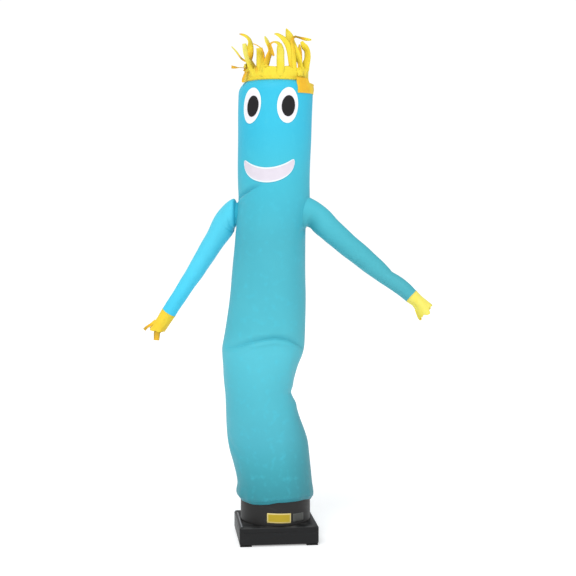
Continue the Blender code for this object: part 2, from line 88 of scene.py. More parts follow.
class Finish:
    # One material: its nodes are added by node(), its fixed values by fixed()
    def __init__(self, name, roughness, **fixed):
        self.material = bpy.data.materials.new(name)
        self.material.use_nodes = True
        self.tree = self.material.node_tree
        self.shader = self.tree.nodes["Principled BSDF"]
        self.shader.inputs["Roughness"].default_value = roughness
        for key, value in fixed.items():
            self.shader.inputs[key.replace("_", " ")].default_value = value
        self.place = self.node("TexCoord", out="Object")
        self.cloth = self.node("TexCoord", out="UV")

    def node(self, kind, settings=None, inputs=None, out=0):
        made = self.tree.nodes.new("ShaderNode" + kind)
        for key, value in (settings or {}).items():
            if key == "stops":
                while len(made.color_ramp.elements) < len(value):
                    made.color_ramp.elements.new(0.5)
                for stop, (position, colour) in zip(made.color_ramp.elements, value):
                    stop.position = position
                    stop.color = colour
            else:
                setattr(made, key, value)
        for key, value in (inputs or {}).items():
            self.feed(made.inputs[key], value)
        return Value(self, made.outputs[out])

    def feed(self, socket, value):
        if isinstance(value, Value):
            self.tree.links.new(value.socket, socket)
        else:
            socket.default_value = value

    def noise(self, size, detail=3.0, at=None, stretch=(1, 1, 1)):
        # Noise with spots about size metres wide
        scaled = self.node("Mapping", {}, {"Vector": at or self.place, "Scale": stretch})
        return self.node("TexNoise", {}, {"Vector": scaled, "Scale": 1 / size, "Detail": detail})

    def blend(self, amount, first, second, way="MIX"):
        settings = {"data_type": "RGBA", "blend_type": way, "clamp_factor": True}
        return self.node("Mix", settings, {0: amount, 6: first, 7: second}, out=2)

    def ramp(self, value, low, high):
        # 0 below low, 1 above high, smooth between
        inputs = {"Value": value, "From Min": low, "From Max": high}
        return self.node("MapRange", {"interpolation_type": "SMOOTHSTEP"}, inputs)

    def parts(self, vector):
        split = self.node("SeparateXYZ", {}, {0: vector})
        return [Value(self, socket) for socket in split.socket.node.outputs]

    def bump(self, height, distance, strength=1.0, after=None):
        inputs = {"Height": height, "Distance": distance, "Strength": strength}
        if after:
            inputs["Normal"] = after
        return self.node("Bump", {}, inputs)

    def wire(self, colour=None, roughness=None, normal=None):
        for name, value in (("Base Color", colour), ("Roughness", roughness), ("Normal", normal)):
            if value is not None:
                self.feed(self.shader.inputs[name], value)
        return self.material


def weave(finish, pitch):
    # Plain weave along the cloth's own length and width, threads over and under
    across, along, _ = finish.parts(finish.cloth)
    turn = 2 * math.pi / pitch
    over = finish.node("Math", {"operation": "SINE"}, {0: across * turn})
    under = finish.node("Math", {"operation": "SINE"}, {0: along * turn})
    return over * under * 0.5 + 0.5


def nylonFinish(name, colours, roughness=0.52):
    # Coated nylon: fine weave, faint cloudiness, soft crumples. Its colour runs with the height
    # as painted light and shade: bluer at the head, darker towards the foot
    finish = Finish(name, roughness, Sheen_Weight=0.04, Sheen_Roughness=0.4,
                    Specular_IOR_Level=0.22)
    right, _, height = finish.parts(finish.place)
    clouds = finish.noise(0.22, 3.0)
    crumple = finish.noise(0.030, 4.0)
    fine = finish.noise(0.006, 2.0)
    threads = weave(finish, 0.0012)
    reach = colours["reach"]
    stops = [(at / reach, tone) for at, tone in colours["stops"]]
    wavy = height + clouds * 0.08 - 0.04
    colour = finish.node("ValToRGB", {"stops": stops}, {"Fac": wavy / reach})
    colour = finish.blend(finish.ramp(clouds, 0.35, 0.70) * 0.5, colour, (0.88, 0.93, 0.95, 1), "MULTIPLY")
    colour = finish.blend(finish.ramp(crumple, 0.50, 0.80) * 0.25, colour, colours["tint"])
    colour = finish.blend(threads * 0.10, colour, (0.80, 0.86, 0.88, 1), "MULTIPLY")
    # Painted shade: one side of the piece is darkened below a given height
    if "wearAndPaintedShade" in colours:
        wearAndPaintedShade = colours["wearAndPaintedShade"]
        side = finish.ramp(right + clouds * wearAndPaintedShade["waver"], wearAndPaintedShade["from"], wearAndPaintedShade["to"])
        low = 1 - finish.ramp(height, wearAndPaintedShade["low"], wearAndPaintedShade["high"])
        colour = finish.blend(side * low * wearAndPaintedShade["amount"], colour, wearAndPaintedShade["colour"])
    normal = finish.bump(crumple, 0.0020, 0.40)
    normal = finish.bump(fine, 0.0004, 0.35, normal)
    normal = finish.bump(threads, 0.00012, 0.5, normal)
    rough = crumple * 0.14 + (roughness - 0.07)
    # Painted glow: the cloth gives off light in its own colour, lifting its shaded side
    finish.shader.inputs["Emission Strength"].default_value = colours.get("paintedGlow", 0.0)
    finish.feed(finish.shader.inputs["Emission Color"], colour)
    return finish.wire(colour, rough, normal)


# The height stops are painted light and shade: bluer and brighter at the head, a lighter band at the belly, darker
# towards the foot
bodyColours = {
    "reach": 2.0, "tint": (0.075, 0.590, 0.740, 1),
    "stops": [
        (0.17, (0.034, 0.245, 0.292, 1)), (0.30, (0.047, 0.336, 0.402, 1)),
        (0.45, (0.073, 0.428, 0.520, 1)), (0.65, (0.082, 0.474, 0.572, 1)),
        (0.82, (0.094, 0.524, 0.628, 1)), (0.92, (0.080, 0.482, 0.578, 1)),
        (1.30, (0.070, 0.448, 0.546, 1)), (1.58, (0.060, 0.520, 0.662, 1)),
        (1.78, (0.043, 0.535, 0.745, 1)), (1.95, (0.041, 0.545, 0.770, 1)),
    ],
    # Painted shade on the lower right of the tube
    "wearAndPaintedShade": {"from": -0.02, "to": 0.10, "low": 0.30, "high": 1.40, "amount": 0.52, "waver": 0.04,
             "colour": (0.050, 0.215, 0.250, 1)},
}
# Painted light: the left sleeve is a lighter, bluer copy of the tube's nylon, as it is lit
litLeftSleeveColours = {
    "reach": 2.0, "tint": (0.100, 0.620, 0.820, 1),
    "stops": [(0.95, (0.055, 0.560, 0.790, 1)), (1.20, (0.080, 0.590, 0.790, 1)),
              (1.45, (0.085, 0.590, 0.760, 1))],
    "paintedGlow": 0.11,
    # Painted shade at the sleeve's neck beside the tube
    "wearAndPaintedShade": {"from": -0.240, "to": -0.226, "low": 1.6, "high": 1.7, "amount": 0.75, "waver": 0.004,
             "colour": (0.020, 0.360, 0.470, 1)},
}
# Painted shade: the right sleeve is a darker copy of the tube's nylon, darker still towards the hand
shadedRightSleeveColours = {
    "reach": 2.0, "tint": (0.090, 0.500, 0.580, 1),
    "stops": [(1.03, (0.076, 0.400, 0.470, 1)), (1.22, (0.074, 0.437, 0.512, 1)),
              (1.45, (0.076, 0.495, 0.598, 1))],
    # Painted shade under the sleeve near the tube
    "wearAndPaintedShade": {"from": 0.150, "to": 0.095, "low": 1.35, "high": 1.46, "amount": 0.50, "waver": 0.01,
             "colour": (0.045, 0.330, 0.390, 1)},
}
yellow = (0.890, 0.720, 0.048, 1)
orange = (0.890, 0.490, 0.020, 1)


def hairFinish():
    # Yellow nylon strips, with light and shade painted through an attribute that runs from -1 pale
    # over 0 yellow and 1 orange to 1.6 olive, painted shade where the light has to pass two layers
    finish = Finish("hairNylon", 0.5, Sheen_Weight=0.04, Sheen_Roughness=0.4,
                    Specular_IOR_Level=0.25)
    shade = finish.node("Attribute", {"attribute_name": "shade"}, out="Fac")
    streaks = finish.noise(0.012, 3.0, stretch=(1, 1, 0.25))
    crumple = finish.noise(0.009, 3.0)
    threads = weave(finish, 0.0012)
    uneven = shade + streaks * 0.6 - 0.3
    colour = finish.blend(finish.ramp(uneven, 0.05, 1.10), yellow, orange)
    pale = (0.840, 0.775, 0.160, 1)
    colour = finish.blend(finish.ramp(0 - uneven, 0.05, 0.80), colour, pale)
    colour = finish.blend(finish.ramp(crumple, 0.58, 0.8) * 0.3, colour, pale)
    # Painted shade: olive for the darkest places
    paintedShadowOlive = (0.330, 0.235, 0.026, 1)
    colour = finish.blend(finish.ramp(uneven, 1.0, 1.55) * 0.85, colour, paintedShadowOlive)
    colour = finish.blend(threads * 0.08, colour, orange)
    normal = finish.bump(streaks, 0.0012, 0.4)
    normal = finish.bump(threads, 0.00012, 0.5, normal)
    return finish.wire(colour, crumple * 0.16 + 0.42, normal)


def patchFinish(name, base, edge, roughness=0.55):
    # Sewn-on patch: "edge" is 1 along its satin-stitched border
    finish = Finish(name, roughness, Sheen_Weight=0.02, Sheen_Roughness=0.4,
                    Specular_IOR_Level=0.2)
    border = finish.node("Attribute", {"attribute_name": "edge"}, out="Fac")
    clouds = finish.noise(0.030, 3.0)
    threads = weave(finish, 0.0012)
    tinted = finish.blend(finish.ramp(clouds, 0.35, 0.7) * 0.5, base,
                          tuple(0.94 * c for c in base[:3]) + (1,))
    colour = finish.blend(border, tinted, edge)
    colour = finish.blend(threads * 0.08, colour, (0.75, 0.75, 0.76, 1), "MULTIPLY")
    normal = finish.bump(clouds, 0.0010, 0.4)
    normal = finish.bump(threads, 0.00012, 0.6, normal)
    return finish.wire(colour, clouds * 0.15 + roughness - 0.08, normal)


def threadFinish(name, colour):
    finish = Finish(name, 0.6, Sheen_Weight=0.1)
    twist = finish.noise(0.0008, 2.0, stretch=(1, 1, 3))
    shaded = finish.blend(twist, colour, tuple(0.7 * c for c in colour[:3]) + (1,))
    return finish.wire(shaded, twist * 0.2 + 0.5, finish.bump(twist, 0.0002, 0.5))


def plasticFinish(name, colour, grain=0.0012, roughness=0.45, gloss=0.3):
    # Moulded plastic: leathery grain, faint scuffs, dust on what faces up
    finish = Finish(name, roughness, Specular_IOR_Level=gloss)
    pits = finish.noise(grain, 2.0)
    scuffs = finish.noise(0.045, 6.0, stretch=(1, 1, 3))
    facing = finish.parts(finish.node("NewGeometry", {}, {}, out="Normal"))[2]
    dust = finish.ramp(facing, 0.3, 1.0) * finish.ramp(scuffs, 0.35, 0.75)
    wearAndPaintedShade = tuple(min(1, 2.0 * c) for c in colour[:3]) + (1,)
    shaded = finish.blend(finish.ramp(scuffs, 0.56, 0.72) * 0.35, colour, wearAndPaintedShade)
    shaded = finish.blend(dust * 0.40, shaded, (0.16, 0.155, 0.15, 1))
    rough = scuffs * 0.22 + pits * 0.06 + dust * 0.15 + roughness - 0.14
    return finish.wire(shaded, rough, finish.bump(pits, 0.00018, 0.5))


def stickerFinish(name, base, rim, size, edge=0.0035):
    # Blank printed film with a lighter rim, along its own width and height
    finish = Finish(name, 0.34, Coat_Weight=0.1, Coat_Roughness=0.25, Specular_IOR_Level=0.3)
    across, up, _ = finish.parts(finish.cloth)
    near = 0.0
    for value, span in ((across, size[0]), (up, size[1])):
        near = near + (1 - finish.ramp(value, edge, edge + 0.0006))
        near = near + finish.ramp(value, span - edge - 0.0006, span - edge)
    stains = finish.noise(0.02, 4.0)
    colour = finish.blend(stains * 0.3, base, tuple(0.7 * c for c in base[:3]) + (1,))
    colour = finish.blend(finish.ramp(near, 0.2, 0.8), colour, rim)
    return finish.wire(colour, stains * 0.2 + 0.3, finish.bump(stains, 0.0002, 0.3))


# Building and finishing pieces

def showOnly(piece):
    bpy.ops.object.select_all(action="DESELECT")
    bpy.context.view_layer.objects.active = piece
    piece.select_set(True)


def applyModifiers(piece):
    showOnly(piece)
    for modifier in list(piece.modifiers):
        bpy.ops.object.modifier_apply(modifier=modifier.name)
    piece.select_set(False)
    return piece


def newPiece(name, points, faces, uvs=None, material=None):
    # A mesh from points and faces, with its own cloth measure as UV
    mesh = bpy.data.meshes.new(name)
    mesh.from_pydata([tuple(p) for p in points], [], faces)
    if uvs is not None:
        layer = mesh.uv_layers.new(name="cloth")
        layer.data.foreach_set("uv", np.array(uvs, np.float32).ravel())
    mesh.validate()
    piece = bpy.data.objects.new(name, mesh)
    bpy.context.scene.collection.objects.link(piece)
    if material:
        mesh.materials.append(material)
    mesh.shade_smooth()
    return piece


def gridPiece(name, grid, spans, material, wraps=False, levels=None):
    # A sheet through a grid of points; spans are its width and length as cloth, and levels
    # the share of the length at each row
    rows, columns = grid.shape[:2]
    levels = np.linspace(0, 1, rows) if levels is None else levels
    points = grid.reshape(-1, 3)
    faces = []
    uvs = []
    last = columns if wraps else columns - 1
    for row in range(rows - 1):
        low = spans[1] * levels[row]
        high = spans[1] * levels[row + 1]
        for column in range(last):
            after = (column + 1) % columns
            face = [row * columns + column, row * columns + after,
                    (row + 1) * columns + after, (row + 1) * columns + column]
            left = spans[0] * column / last
            right = spans[0] * (column + 1) / last
            faces.append(face)
            uvs += [(left, low), (right, low), (right, high), (left, high)]
    return newPiece(name, points, faces, uvs, material)


def thicken(piece, thickness, offset=-1.0):
    wall = piece.modifiers.new("cloth", "SOLIDIFY")
    wall.thickness = thickness
    wall.offset = offset
    wall.use_even_offset = False
    return applyModifiers(piece)


def setAttribute(piece, name, values):
    layer = piece.data.attributes.new(name, "FLOAT", "POINT")
    layer.data.foreach_set("value", np.array(values, np.float32))


def joinPieces(name, pieces):
    bpy.ops.object.select_all(action="DESELECT")
    for piece in pieces:
        piece.select_set(True)
    bpy.context.view_layer.objects.active = pieces[0]
    bpy.ops.object.join()
    joined = bpy.context.view_layer.objects.active
    joined.name = name
    joined.data.name = name
    joined.select_set(False)
    return joined


def settle(piece, nodes=()):
    # Hands the finished piece to the frame
    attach(piece, "root")
    if nodes:
        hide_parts(*nodes)
    return piece


# The tube: a row for each section: height, left edge, right edge, half depth
hemRadius = (collarHigh.x - collarLow.x) / 2 + 2.5 * mm
tube = {
    "rimHeight": 1.980, "hemHeight": 0.168, "columns": 144, "rowStep": 0.0085,
    "fineRows": [(0.160, 0.200, 0.0028), (0.825, 0.905, 0.0026), (1.465, 1.555, 0.0034)],
    "thickness": 1.0 * mm, "hemBand": 0.020, "riseEnd": 0.250,
    # How far the hem is raised, in mm, at each angle
    "hemRises": [(0, 3), (60, 10), (120, 11), (174, 9), (198, 6), (213, 4), (226, 1.5), (240, 4),
                 (252, 7), (260, 12), (268, 15.5), (300, 16), (318, 16), (335, 9), (350, 2), (360, 3)],
    "sections": [
        (1.980, -0.1340, 0.1440, 0.1390), (1.969, -0.1440, 0.1545, 0.1500),
        (1.952, -0.1545, 0.1620, 0.1590), (1.930, -0.1590, 0.1625, 0.1610),
        (1.779, -0.1615, 0.1570, 0.1610), (1.650, -0.1615, 0.1530, 0.1630),
        (1.542, -0.1620, 0.1490, 0.1640), (1.477, -0.1605, 0.1485, 0.1650),
        (1.412, -0.1640, 0.1410, 0.1660), (1.347, -0.1710, 0.1315, 0.1670),
        (1.172, -0.1865, 0.1315, 0.1600), (0.998, -0.2065, 0.1315, 0.1510),
        (0.910, -0.2200, 0.1295, 0.1465), (0.883, -0.2250, 0.1282, 0.1440),
        (0.836, -0.2330, 0.1250, 0.1410), (0.801, -0.2320, 0.1165, 0.1440),
        (0.757, -0.2280, 0.0990, 0.1500), (0.700, -0.2255, 0.0830, 0.1520),
        (0.660, -0.2225, 0.0752, 0.1530), (0.641, -0.2205, 0.0712, 0.1530),
        (0.622, -0.2195, 0.0768, 0.1530), (0.537, -0.2155, 0.1035, 0.1550),
        (0.471, -0.2120, 0.1285, 0.1500), (0.427, -0.2075, 0.1415, 0.1470),
        (0.383, -0.1990, 0.1475, 0.1490), (0.339, -0.1860, 0.1520, 0.1530),
        (0.250, -0.1670, 0.1605, 0.1610), (0.206, -0.1705, 0.1660, 0.1655),
        (0.188, -0.1690, 0.1655, 0.1655), (0.178, -0.1610, 0.1600, 0.1605),
        (0.168, -hemRadius, hemRadius, hemRadius),
    ],
}

# Creases in the tube, each along a curve through places (angle, height) from left to right.
# In mm: "depth" of the trough, how wide it is above and below the line, and the lip that
# swells under it, as high as "lip" and "lipAt" below the line
tubeFolds = [
    # Across the belly, where the tube bends forward over itself
    {"path": [(200, 0.838), (214, 0.8435), (232, 0.850), (249, 0.867), (261, 0.875), (272, 0.881),
              (282, 0.884), (292, 0.880), (302, 0.875), (314, 0.863), (331, 0.844), (352, 0.826)],
     "depth": 13.0, "above": 17, "below": 3.0, "lip": 4.5, "lipAt": 18},
    {"path": [(225, 0.812), (270, 0.826), (318, 0.806)], "depth": -3.0, "above": 28, "below": 30,
     "lip": 0, "lipAt": 40},
    # From the left sleeve up across the chest
    {"path": [(176, 1.474), (186, 1.482), (204, 1.495), (219, 1.510), (231, 1.523), (244, 1.536)],
     "depth": 15.0, "above": 15, "below": 3.0, "lip": 4.5, "lipAt": 16},
    {"path": [(186, 1.452), (206, 1.440), (232, 1.446)], "depth": 3.0, "above": 22, "below": 16,
     "lip": 1.5, "lipAt": 34},
    {"path": [(176, 1.360), (196, 1.330), (214, 1.280)], "depth": 3.0, "above": 16, "below": 12,
     "lip": 1.2, "lipAt": 26},
    # Beside the right sleeve
    {"path": [(318, 1.330), (332, 1.345), (344, 1.352)], "depth": 3.5, "above": 14, "below": 12,
     "lip": 1.0, "lipAt": 26},
    {"path": [(300, 1.290), (318, 1.262), (340, 1.250)], "depth": 2.2, "above": 22, "below": 16,
     "lip": 1.0, "lipAt": 30},
    # The pinch at the right and the creases that run from it
    {"path": [(296, 0.705), (332, 0.656), (352, 0.638), (402, 0.640)], "depth": 4.0, "above": 24, "below": 16,
     "lip": 2.0, "lipAt": 44},
    {"path": [(306, 0.580), (340, 0.612), (380, 0.620)], "depth": 2.4, "above": 14, "below": 14,
     "lip": 1.0, "lipAt": 28},
    {"path": [(318, 0.790), (338, 0.730), (352, 0.670)], "depth": 3.0, "above": 22, "below": 22,
     "lip": 1.0, "lipAt": 40},
    {"path": [(12, 0.560), (36, 0.625), (70, 0.690)], "depth": 4.0, "above": 18, "below": 16,
     "lip": 1.2, "lipAt": 32},
    # Long soft hollows down the lower part of the tube
    {"path": [(300, 0.560), (304, 0.420), (300, 0.270)], "depth": 3.0, "above": 28, "below": 28,
     "lip": 1.0, "lipAt": 50},
    {"path": [(246, 0.520), (240, 0.400), (250, 0.290)], "depth": 2.0, "above": 35, "below": 35,
     "lip": 0, "lipAt": 60},
    {"path": [(190, 0.470), (205, 0.410), (232, 0.372)], "depth": 3.0, "above": 16, "below": 14,
     "lip": 1.2, "lipAt": 30},
    # Round the back
    {"path": [(50, 0.905), (75, 0.875), (100, 0.857), (150, 0.850), (176, 0.842)], "depth": 7.0,
     "above": 20, "below": 8, "lip": 2.5, "lipAt": 16},
    {"path": [(112, 0.650), (140, 0.700), (172, 0.760)], "depth": 3.5, "above": 18, "below": 16,
     "lip": 1.0, "lipAt": 34},
    {"path": [(110, 1.500), (138, 1.478), (166, 1.486)], "depth": 4.5, "above": 16, "below": 9,
     "lip": 2.0, "lipAt": 18},
    {"path": [(20, 1.460), (48, 1.440), (80, 1.462)], "depth": 3.5, "above": 18, "below": 14,
     "lip": 1.0, "lipAt": 30},
    {"path": [(66, 0.460), (90, 0.400), (106, 0.300)], "depth": 3.0, "above": 26, "below": 26,
     "lip": 1.0, "lipAt": 46},
]


def curveThrough(points, count, crowd=1.0):
    # A smooth curve through given points; with crowd over 1 its start gets more of them
    points = np.array(points, float)
    gaps = np.linalg.norm(np.diff(points[:, :3], axis=0), axis=1)
    knots = np.concatenate([[0], np.cumsum(np.maximum(gaps, 1e-5))])
    slopes = np.gradient(points, knots, axis=0)
    dense = []
    for i in range(len(points) - 1):
        span = knots[i + 1] - knots[i]
        for t in np.linspace(0, 1, 24, endpoint=False):
            dense.append((2 * t**3 - 3 * t**2 + 1) * points[i] + (t**3 - 2 * t**2 + t) * span * slopes[i]
                         + (3 * t**2 - 2 * t**3) * points[i + 1] + (t**3 - t**2) * span * slopes[i + 1])
    dense = np.array(dense + [points[-1]])
    steps = np.linalg.norm(np.diff(dense[:, :3], axis=0), axis=1)
    travelled = np.concatenate([[0], np.cumsum(steps)])
    places = travelled[-1] * np.linspace(0, 1, count) ** crowd
    return np.stack([np.interp(places, travelled, dense[:, k]) for k in range(dense.shape[1])], axis=1), places


def sectionsAt(heights):
    # Left edge, right edge and half depth, on a smooth curve through the table's rows
    table = np.array(sorted(tube["sections"]))
    knots = table[:, 0]
    heights = np.clip(heights, knots[0], knots[-1])
    index = np.clip(np.searchsorted(knots, heights, side="right") - 1, 0, len(knots) - 2)
    before = np.maximum(index - 1, 0)
    after = np.minimum(index + 2, len(knots) - 1)
    span = knots[index + 1] - knots[index]
    t = (heights - knots[index]) / span
    values = []
    for column in (1, 2, 3):
        low = table[index, column]
        high = table[index + 1, column]
        slopeLow = (high - table[before, column]) / (knots[index + 1] - knots[before]) * span
        slopeHigh = (table[after, column] - low) / (knots[after] - knots[index]) * span
        values.append((2 * t**3 - 3 * t**2 + 1) * low + (t**3 - 2 * t**2 + t) * slopeLow
                      + (3 * t**2 - 2 * t**3) * high + (t**3 - t**2) * slopeHigh)
    return values


def foldDepths(angles, heights):
    # How far the creases press in at each place, from the distance to each one's curve
    depth = np.zeros(angles.shape)
    radius = 0.16
    for fold in tubeFolds:
        route = [(math.radians(a) * radius, h, 0.0) for a, h in fold["path"]]
        curve, _ = curveThrough(route, 41)
        middle = curve[len(curve) // 2, 0]
        across = np.radians(angles) * radius
        lap = 2 * math.pi * radius
        across = (across - middle + lap / 2) % lap - lap / 2 + middle
        best = np.full(angles.shape, 9.0)
        side = np.zeros(angles.shape)
        share = np.zeros(angles.shape)
        for k in range(len(curve) - 1):
            (x0, z0), (x1, z1) = curve[k, :2], curve[k + 1, :2]
            length = math.hypot(x1 - x0, z1 - z0)
            along = np.clip(((across - x0) * (x1 - x0) + (heights - z0) * (z1 - z0)) / length**2, 0, 1)
            apart = np.hypot(across - x0 - along * (x1 - x0), heights - z0 - along * (z1 - z0))
            closer = apart < best
            best = np.where(closer, apart, best)
            turn = (x1 - x0) * (heights - z0) - (z1 - z0) * (across - x0)
            side = np.where(closer, np.sign(turn), side)
            share = np.where(closer, (k + along) / (len(curve) - 1), share)
        fade = np.sin(np.pi * np.clip(share, 0.0, 1.0)) ** 0.6
        signed = best * side / mm
        wide = np.where(side < 0, fold["below"], fold["above"])
        depth += fold["depth"] * mm * fade * np.exp(-(signed / wide) ** 2)
        lipWide = 0.45 * fold["lipAt"]
        depth -= fold["lip"] * mm * fade * np.exp(-((signed + fold["lipAt"]) / lipWide) ** 2)
    return depth


def hemRise(angles, heights):
    # The hem rides up the collar unevenly
    low = tube["hemHeight"]
    share = np.clip((tube["riseEnd"] - heights) / (tube["riseEnd"] - low), 0, 1)
    turns, rises = np.array(tube["hemRises"]).T
    return np.interp(angles % 360, turns, rises) * mm * share**2 * (3 - 2 * share)


def tubePoints(angles, heights, out=0.0):
    # Places on the tube's outer face, or out from it
    angles = np.asarray(angles, float)
    heights = np.asarray(heights, float)
    left, right, halfDepth = sectionsAt(heights)
    turn = np.radians(angles)
    top = tube["rimHeight"]
    filled = np.clip((heights - 0.30) / 0.2, 0, 1) * np.clip((top - heights) / 0.1, 0, 1)
    grow = 1.2 * mm * filled * np.sin(2 * turn + 5.1 * heights) * np.cos(turn - 9.3 * heights)
    # Slow waves of the moving air, finer ones above the hem where the cloth is gathered
    grow = grow + 1.1 * mm * filled * np.sin(3 * turn - 17 * heights) * np.sin(11 * heights + 1.3)
    gather = np.exp(-((heights - 0.200) / 0.035) ** 2)
    grow = grow + 1.3 * mm * gather * np.sin(17 * turn + 1.5 * np.sin(3 * turn))
    hemTop = tube["hemHeight"] + tube["hemBand"]
    grow = grow + 0.6 * mm * np.clip((hemTop - heights) / (2 * mm), 0, 1)
    grow = grow - foldDepths(angles, heights) + out
    x = (left + right) / 2 + ((right - left) / 2 + grow) * np.cos(turn)
    y = (halfDepth + grow) * np.sin(turn)
    return np.stack([x, y, heights + hemRise(angles, heights)], axis=-1) + standArray


def tubeRows():
    # Rows stand closer where the sharp creases and the hem are
    heights = [tube["hemHeight"]]
    while heights[-1] < tube["rimHeight"]:
        here = heights[-1]
        step = tube["rowStep"]
        for low, high, fine in tube["fineRows"]:
            if low <= here < high:
                step = fine
        heights.append(here + step)
    heights[-1] = tube["rimHeight"]
    return np.array(heights)


def makeTube(material):
    rows = tubeRows()
    turns = np.linspace(0, 360, tube["columns"], endpoint=False)
    angles, heights = np.meshgrid(turns, rows)
    girth = 2 * math.pi * 0.16
    length = tube["rimHeight"] - tube["hemHeight"]
    levels = (rows - rows[0]) / length
    piece = gridPiece("tube_cloth", tubePoints(angles, heights), (girth, length), material, True, levels)
    thicken(piece, tube["thickness"])
    flat = {"flat": (girth, length + tube["hemBand"]), "held": "stretched",
            "rests_on": ["blower_collar"]}
    return settle(piece, ["tube_body"])


# Sleeves: a row for each ring: x, y, height, half width. The seat on the tube is half as high
# and deep as given, and flares out into it over "fillet"
sleeves = {
    "left": {
        "angle": 163.0, "height": 1.4155, "halfHeight": 0.0600, "halfDepth": 0.0480,
        "flare": 0.0015, "fillet": 0.012, "sink": 0.2 * mm, "pleats": 0.5 * mm, "upright": 0.13,
        "rings": [
            (-0.1775, 0.0530, 1.4193, 0.0640), (-0.1904, 0.0580, 1.4085, 0.0630),
            (-0.2037, 0.0640, 1.3916, 0.0590), (-0.2172, 0.0712, 1.3711, 0.0555),
            (-0.2317, 0.0797, 1.3468, 0.0518), (-0.2518, 0.0924, 1.3130, 0.0470),
            (-0.2889, 0.1176, 1.2528, 0.0438),
            (-0.3337, 0.1424, 1.1763, 0.0396), (-0.3805, 0.1668, 1.1024, 0.0356),
            (-0.4266, 0.1878, 1.0300, 0.0338), (-0.4615, 0.2027, 0.9755, 0.0332),
        ],
    },
    "right": {
        "angle": -18.0, "height": 1.4225, "halfHeight": 0.0590, "halfDepth": 0.0500,
        "flare": 0.0110, "fillet": 0.055, "sink": 0.7 * mm, "pleats": 0.2 * mm, "upright": 0.03,
        "rings": [
            (0.1582, -0.0505, 1.4121, 0.0578), (0.1843, -0.0578, 1.3913, 0.0572),
            (0.2287, -0.0704, 1.3492, 0.0530), (0.2961, -0.0881, 1.2889, 0.0489),
            (0.3663, -0.1052, 1.2299, 0.0458), (0.4252, -0.1202, 1.1789, 0.0411),
            (0.4594, -0.1292, 1.1490, 0.0365), (0.4785, -0.1349, 1.1350, 0.0347),
            (0.5056, -0.1429, 1.1162, 0.0350), (0.5425, -0.1549, 1.0875, 0.0338),
            (0.5716, -0.1647, 1.0607, 0.0308),
        ],
    },
}
sleeveColumns = 56
sleeveRows = 130
sleeveThickness = 0.9 * mm


def sleeveFrames(sleeve):
    # Middle, direction, up across, sideways, half width and distance from the root
    root = tubePoints(sleeve["angle"], sleeve["height"]) - standArray
    rows = [tuple(root) + (sleeve["rings"][0][3],)] + list(sleeve["rings"])
    line, travelled = curveThrough(rows, sleeveRows, 1.35)
    frames = []
    for i in range(sleeveRows):
        ahead = Vector(line[min(i + 1, sleeveRows - 1), :3] - line[max(i - 1, 0), :3])
        along = ahead.normalized()
        up = (Vector((0, 0, 1)) - along * along.z).normalized()
        aside = along.cross(up)
        # The rings stand upright at the tube and lean square to the sleeve further out
        share = min(travelled[i] / sleeve["upright"], 1.0)
        up = Vector((0, 0, 1)).lerp(up, share * share * (3 - 2 * share)).normalized()
        frames.append((Vector(line[i, :3]) + stand, along, up, aside, line[i, 3], travelled[i]))
    return frames


def makeSleeve(side, material):
    sleeve = sleeves[side]
    frames = sleeveFrames(sleeve)
    turns = np.linspace(0, 2 * math.pi, sleeveColumns, endpoint=False)
    first = frames[0]
    outward = Vector((first[1].x, first[1].y, 0)).normalized()
    hand = 1 if first[3].dot(Vector((-outward.y, outward.x, 0))) > 0 else -1
    seats = []
    for flare in (0.0, sleeve["flare"]):
        aside = np.degrees(hand * (sleeve["halfDepth"] + flare) * np.sin(turns) / 0.16)
        heights = sleeve["height"] + (sleeve["halfHeight"] + flare) * np.cos(turns)
        seats.append(tubePoints(sleeve["angle"] + aside, heights, -sleeve["sink"]))
    length = frames[-1][5]
    rows = []
    for centre, along, up, sideways, half, gone in frames:
        near = min(gone / sleeve["fillet"], 1.0)
        ring = []
        for i, turn in enumerate(turns):
            # Gathers at the root, and soft creases that fade along the sleeve
            reach = half
            reach += sleeve["pleats"] * math.cos(9 * turn + 2 * math.sin(turn)) * math.exp(-gone / 0.030)
            fill = min(gone / 0.10, 1.0) * min((length - gone) / 0.03 + 0.2, 1.0)
            reach += 0.9 * mm * fill * math.sin(2 * turn + 21 * gone) * math.sin(34 * gone + turn)
            reach -= sleeveCrease(side, turn, gone)
            free = centre + (up * math.cos(turn) + sideways * math.sin(turn)) * reach
            start = Vector(seats[0][i])
            spread = Vector(seats[1][i]) - start
            ring.append(start.lerp(free, 2 * near - near * near) + spread * (1 - near) ** 2)
        rows.append(ring)
    grid = np.array([[tuple(p) for p in ring] for ring in rows])
    girth = 2 * math.pi * 0.045
    levels = np.array([one[5] for one in frames]) / length
    piece = gridPiece("sleeve_" + side + "_cloth", grid, (girth, length), material, True, levels)
    thicken(piece, sleeveThickness)
    flat = {"flat": (2 * math.pi * 0.060, length), "held": "stretched", "area": girth * length,
            "rests_on": ["tube_cloth"]}
    return settle(piece, ["sleeve_" + side])


# Creases across the sleeves: turn round it (0 on top), distance from the root, how far round
# it reaches, width, depth and slant
sleeveCreases = {
    "left": [(5.0, 0.0075, 2.6, 0.0065, 0.0230, 0.0), (3.4, 0.060, 0.9, 0.012, 0.0030, 0.01),
             (2.6, 0.085, 0.8, 0.010, 0.0022, 0.01), (4.4, 0.330, 0.7, 0.016, 0.0016, 0.01)],
    "right": [(0.0, 0.449, 0.9, 0.013, 0.0022, 0.01), (2.3, 0.050, 0.8, 0.026, 0.0070, 0.0),
              (3.4, 0.060, 0.9, 0.012, 0.0022, 0.01), (3.0, 0.120, 0.6, 0.018, 0.0015, 0.01)],
}


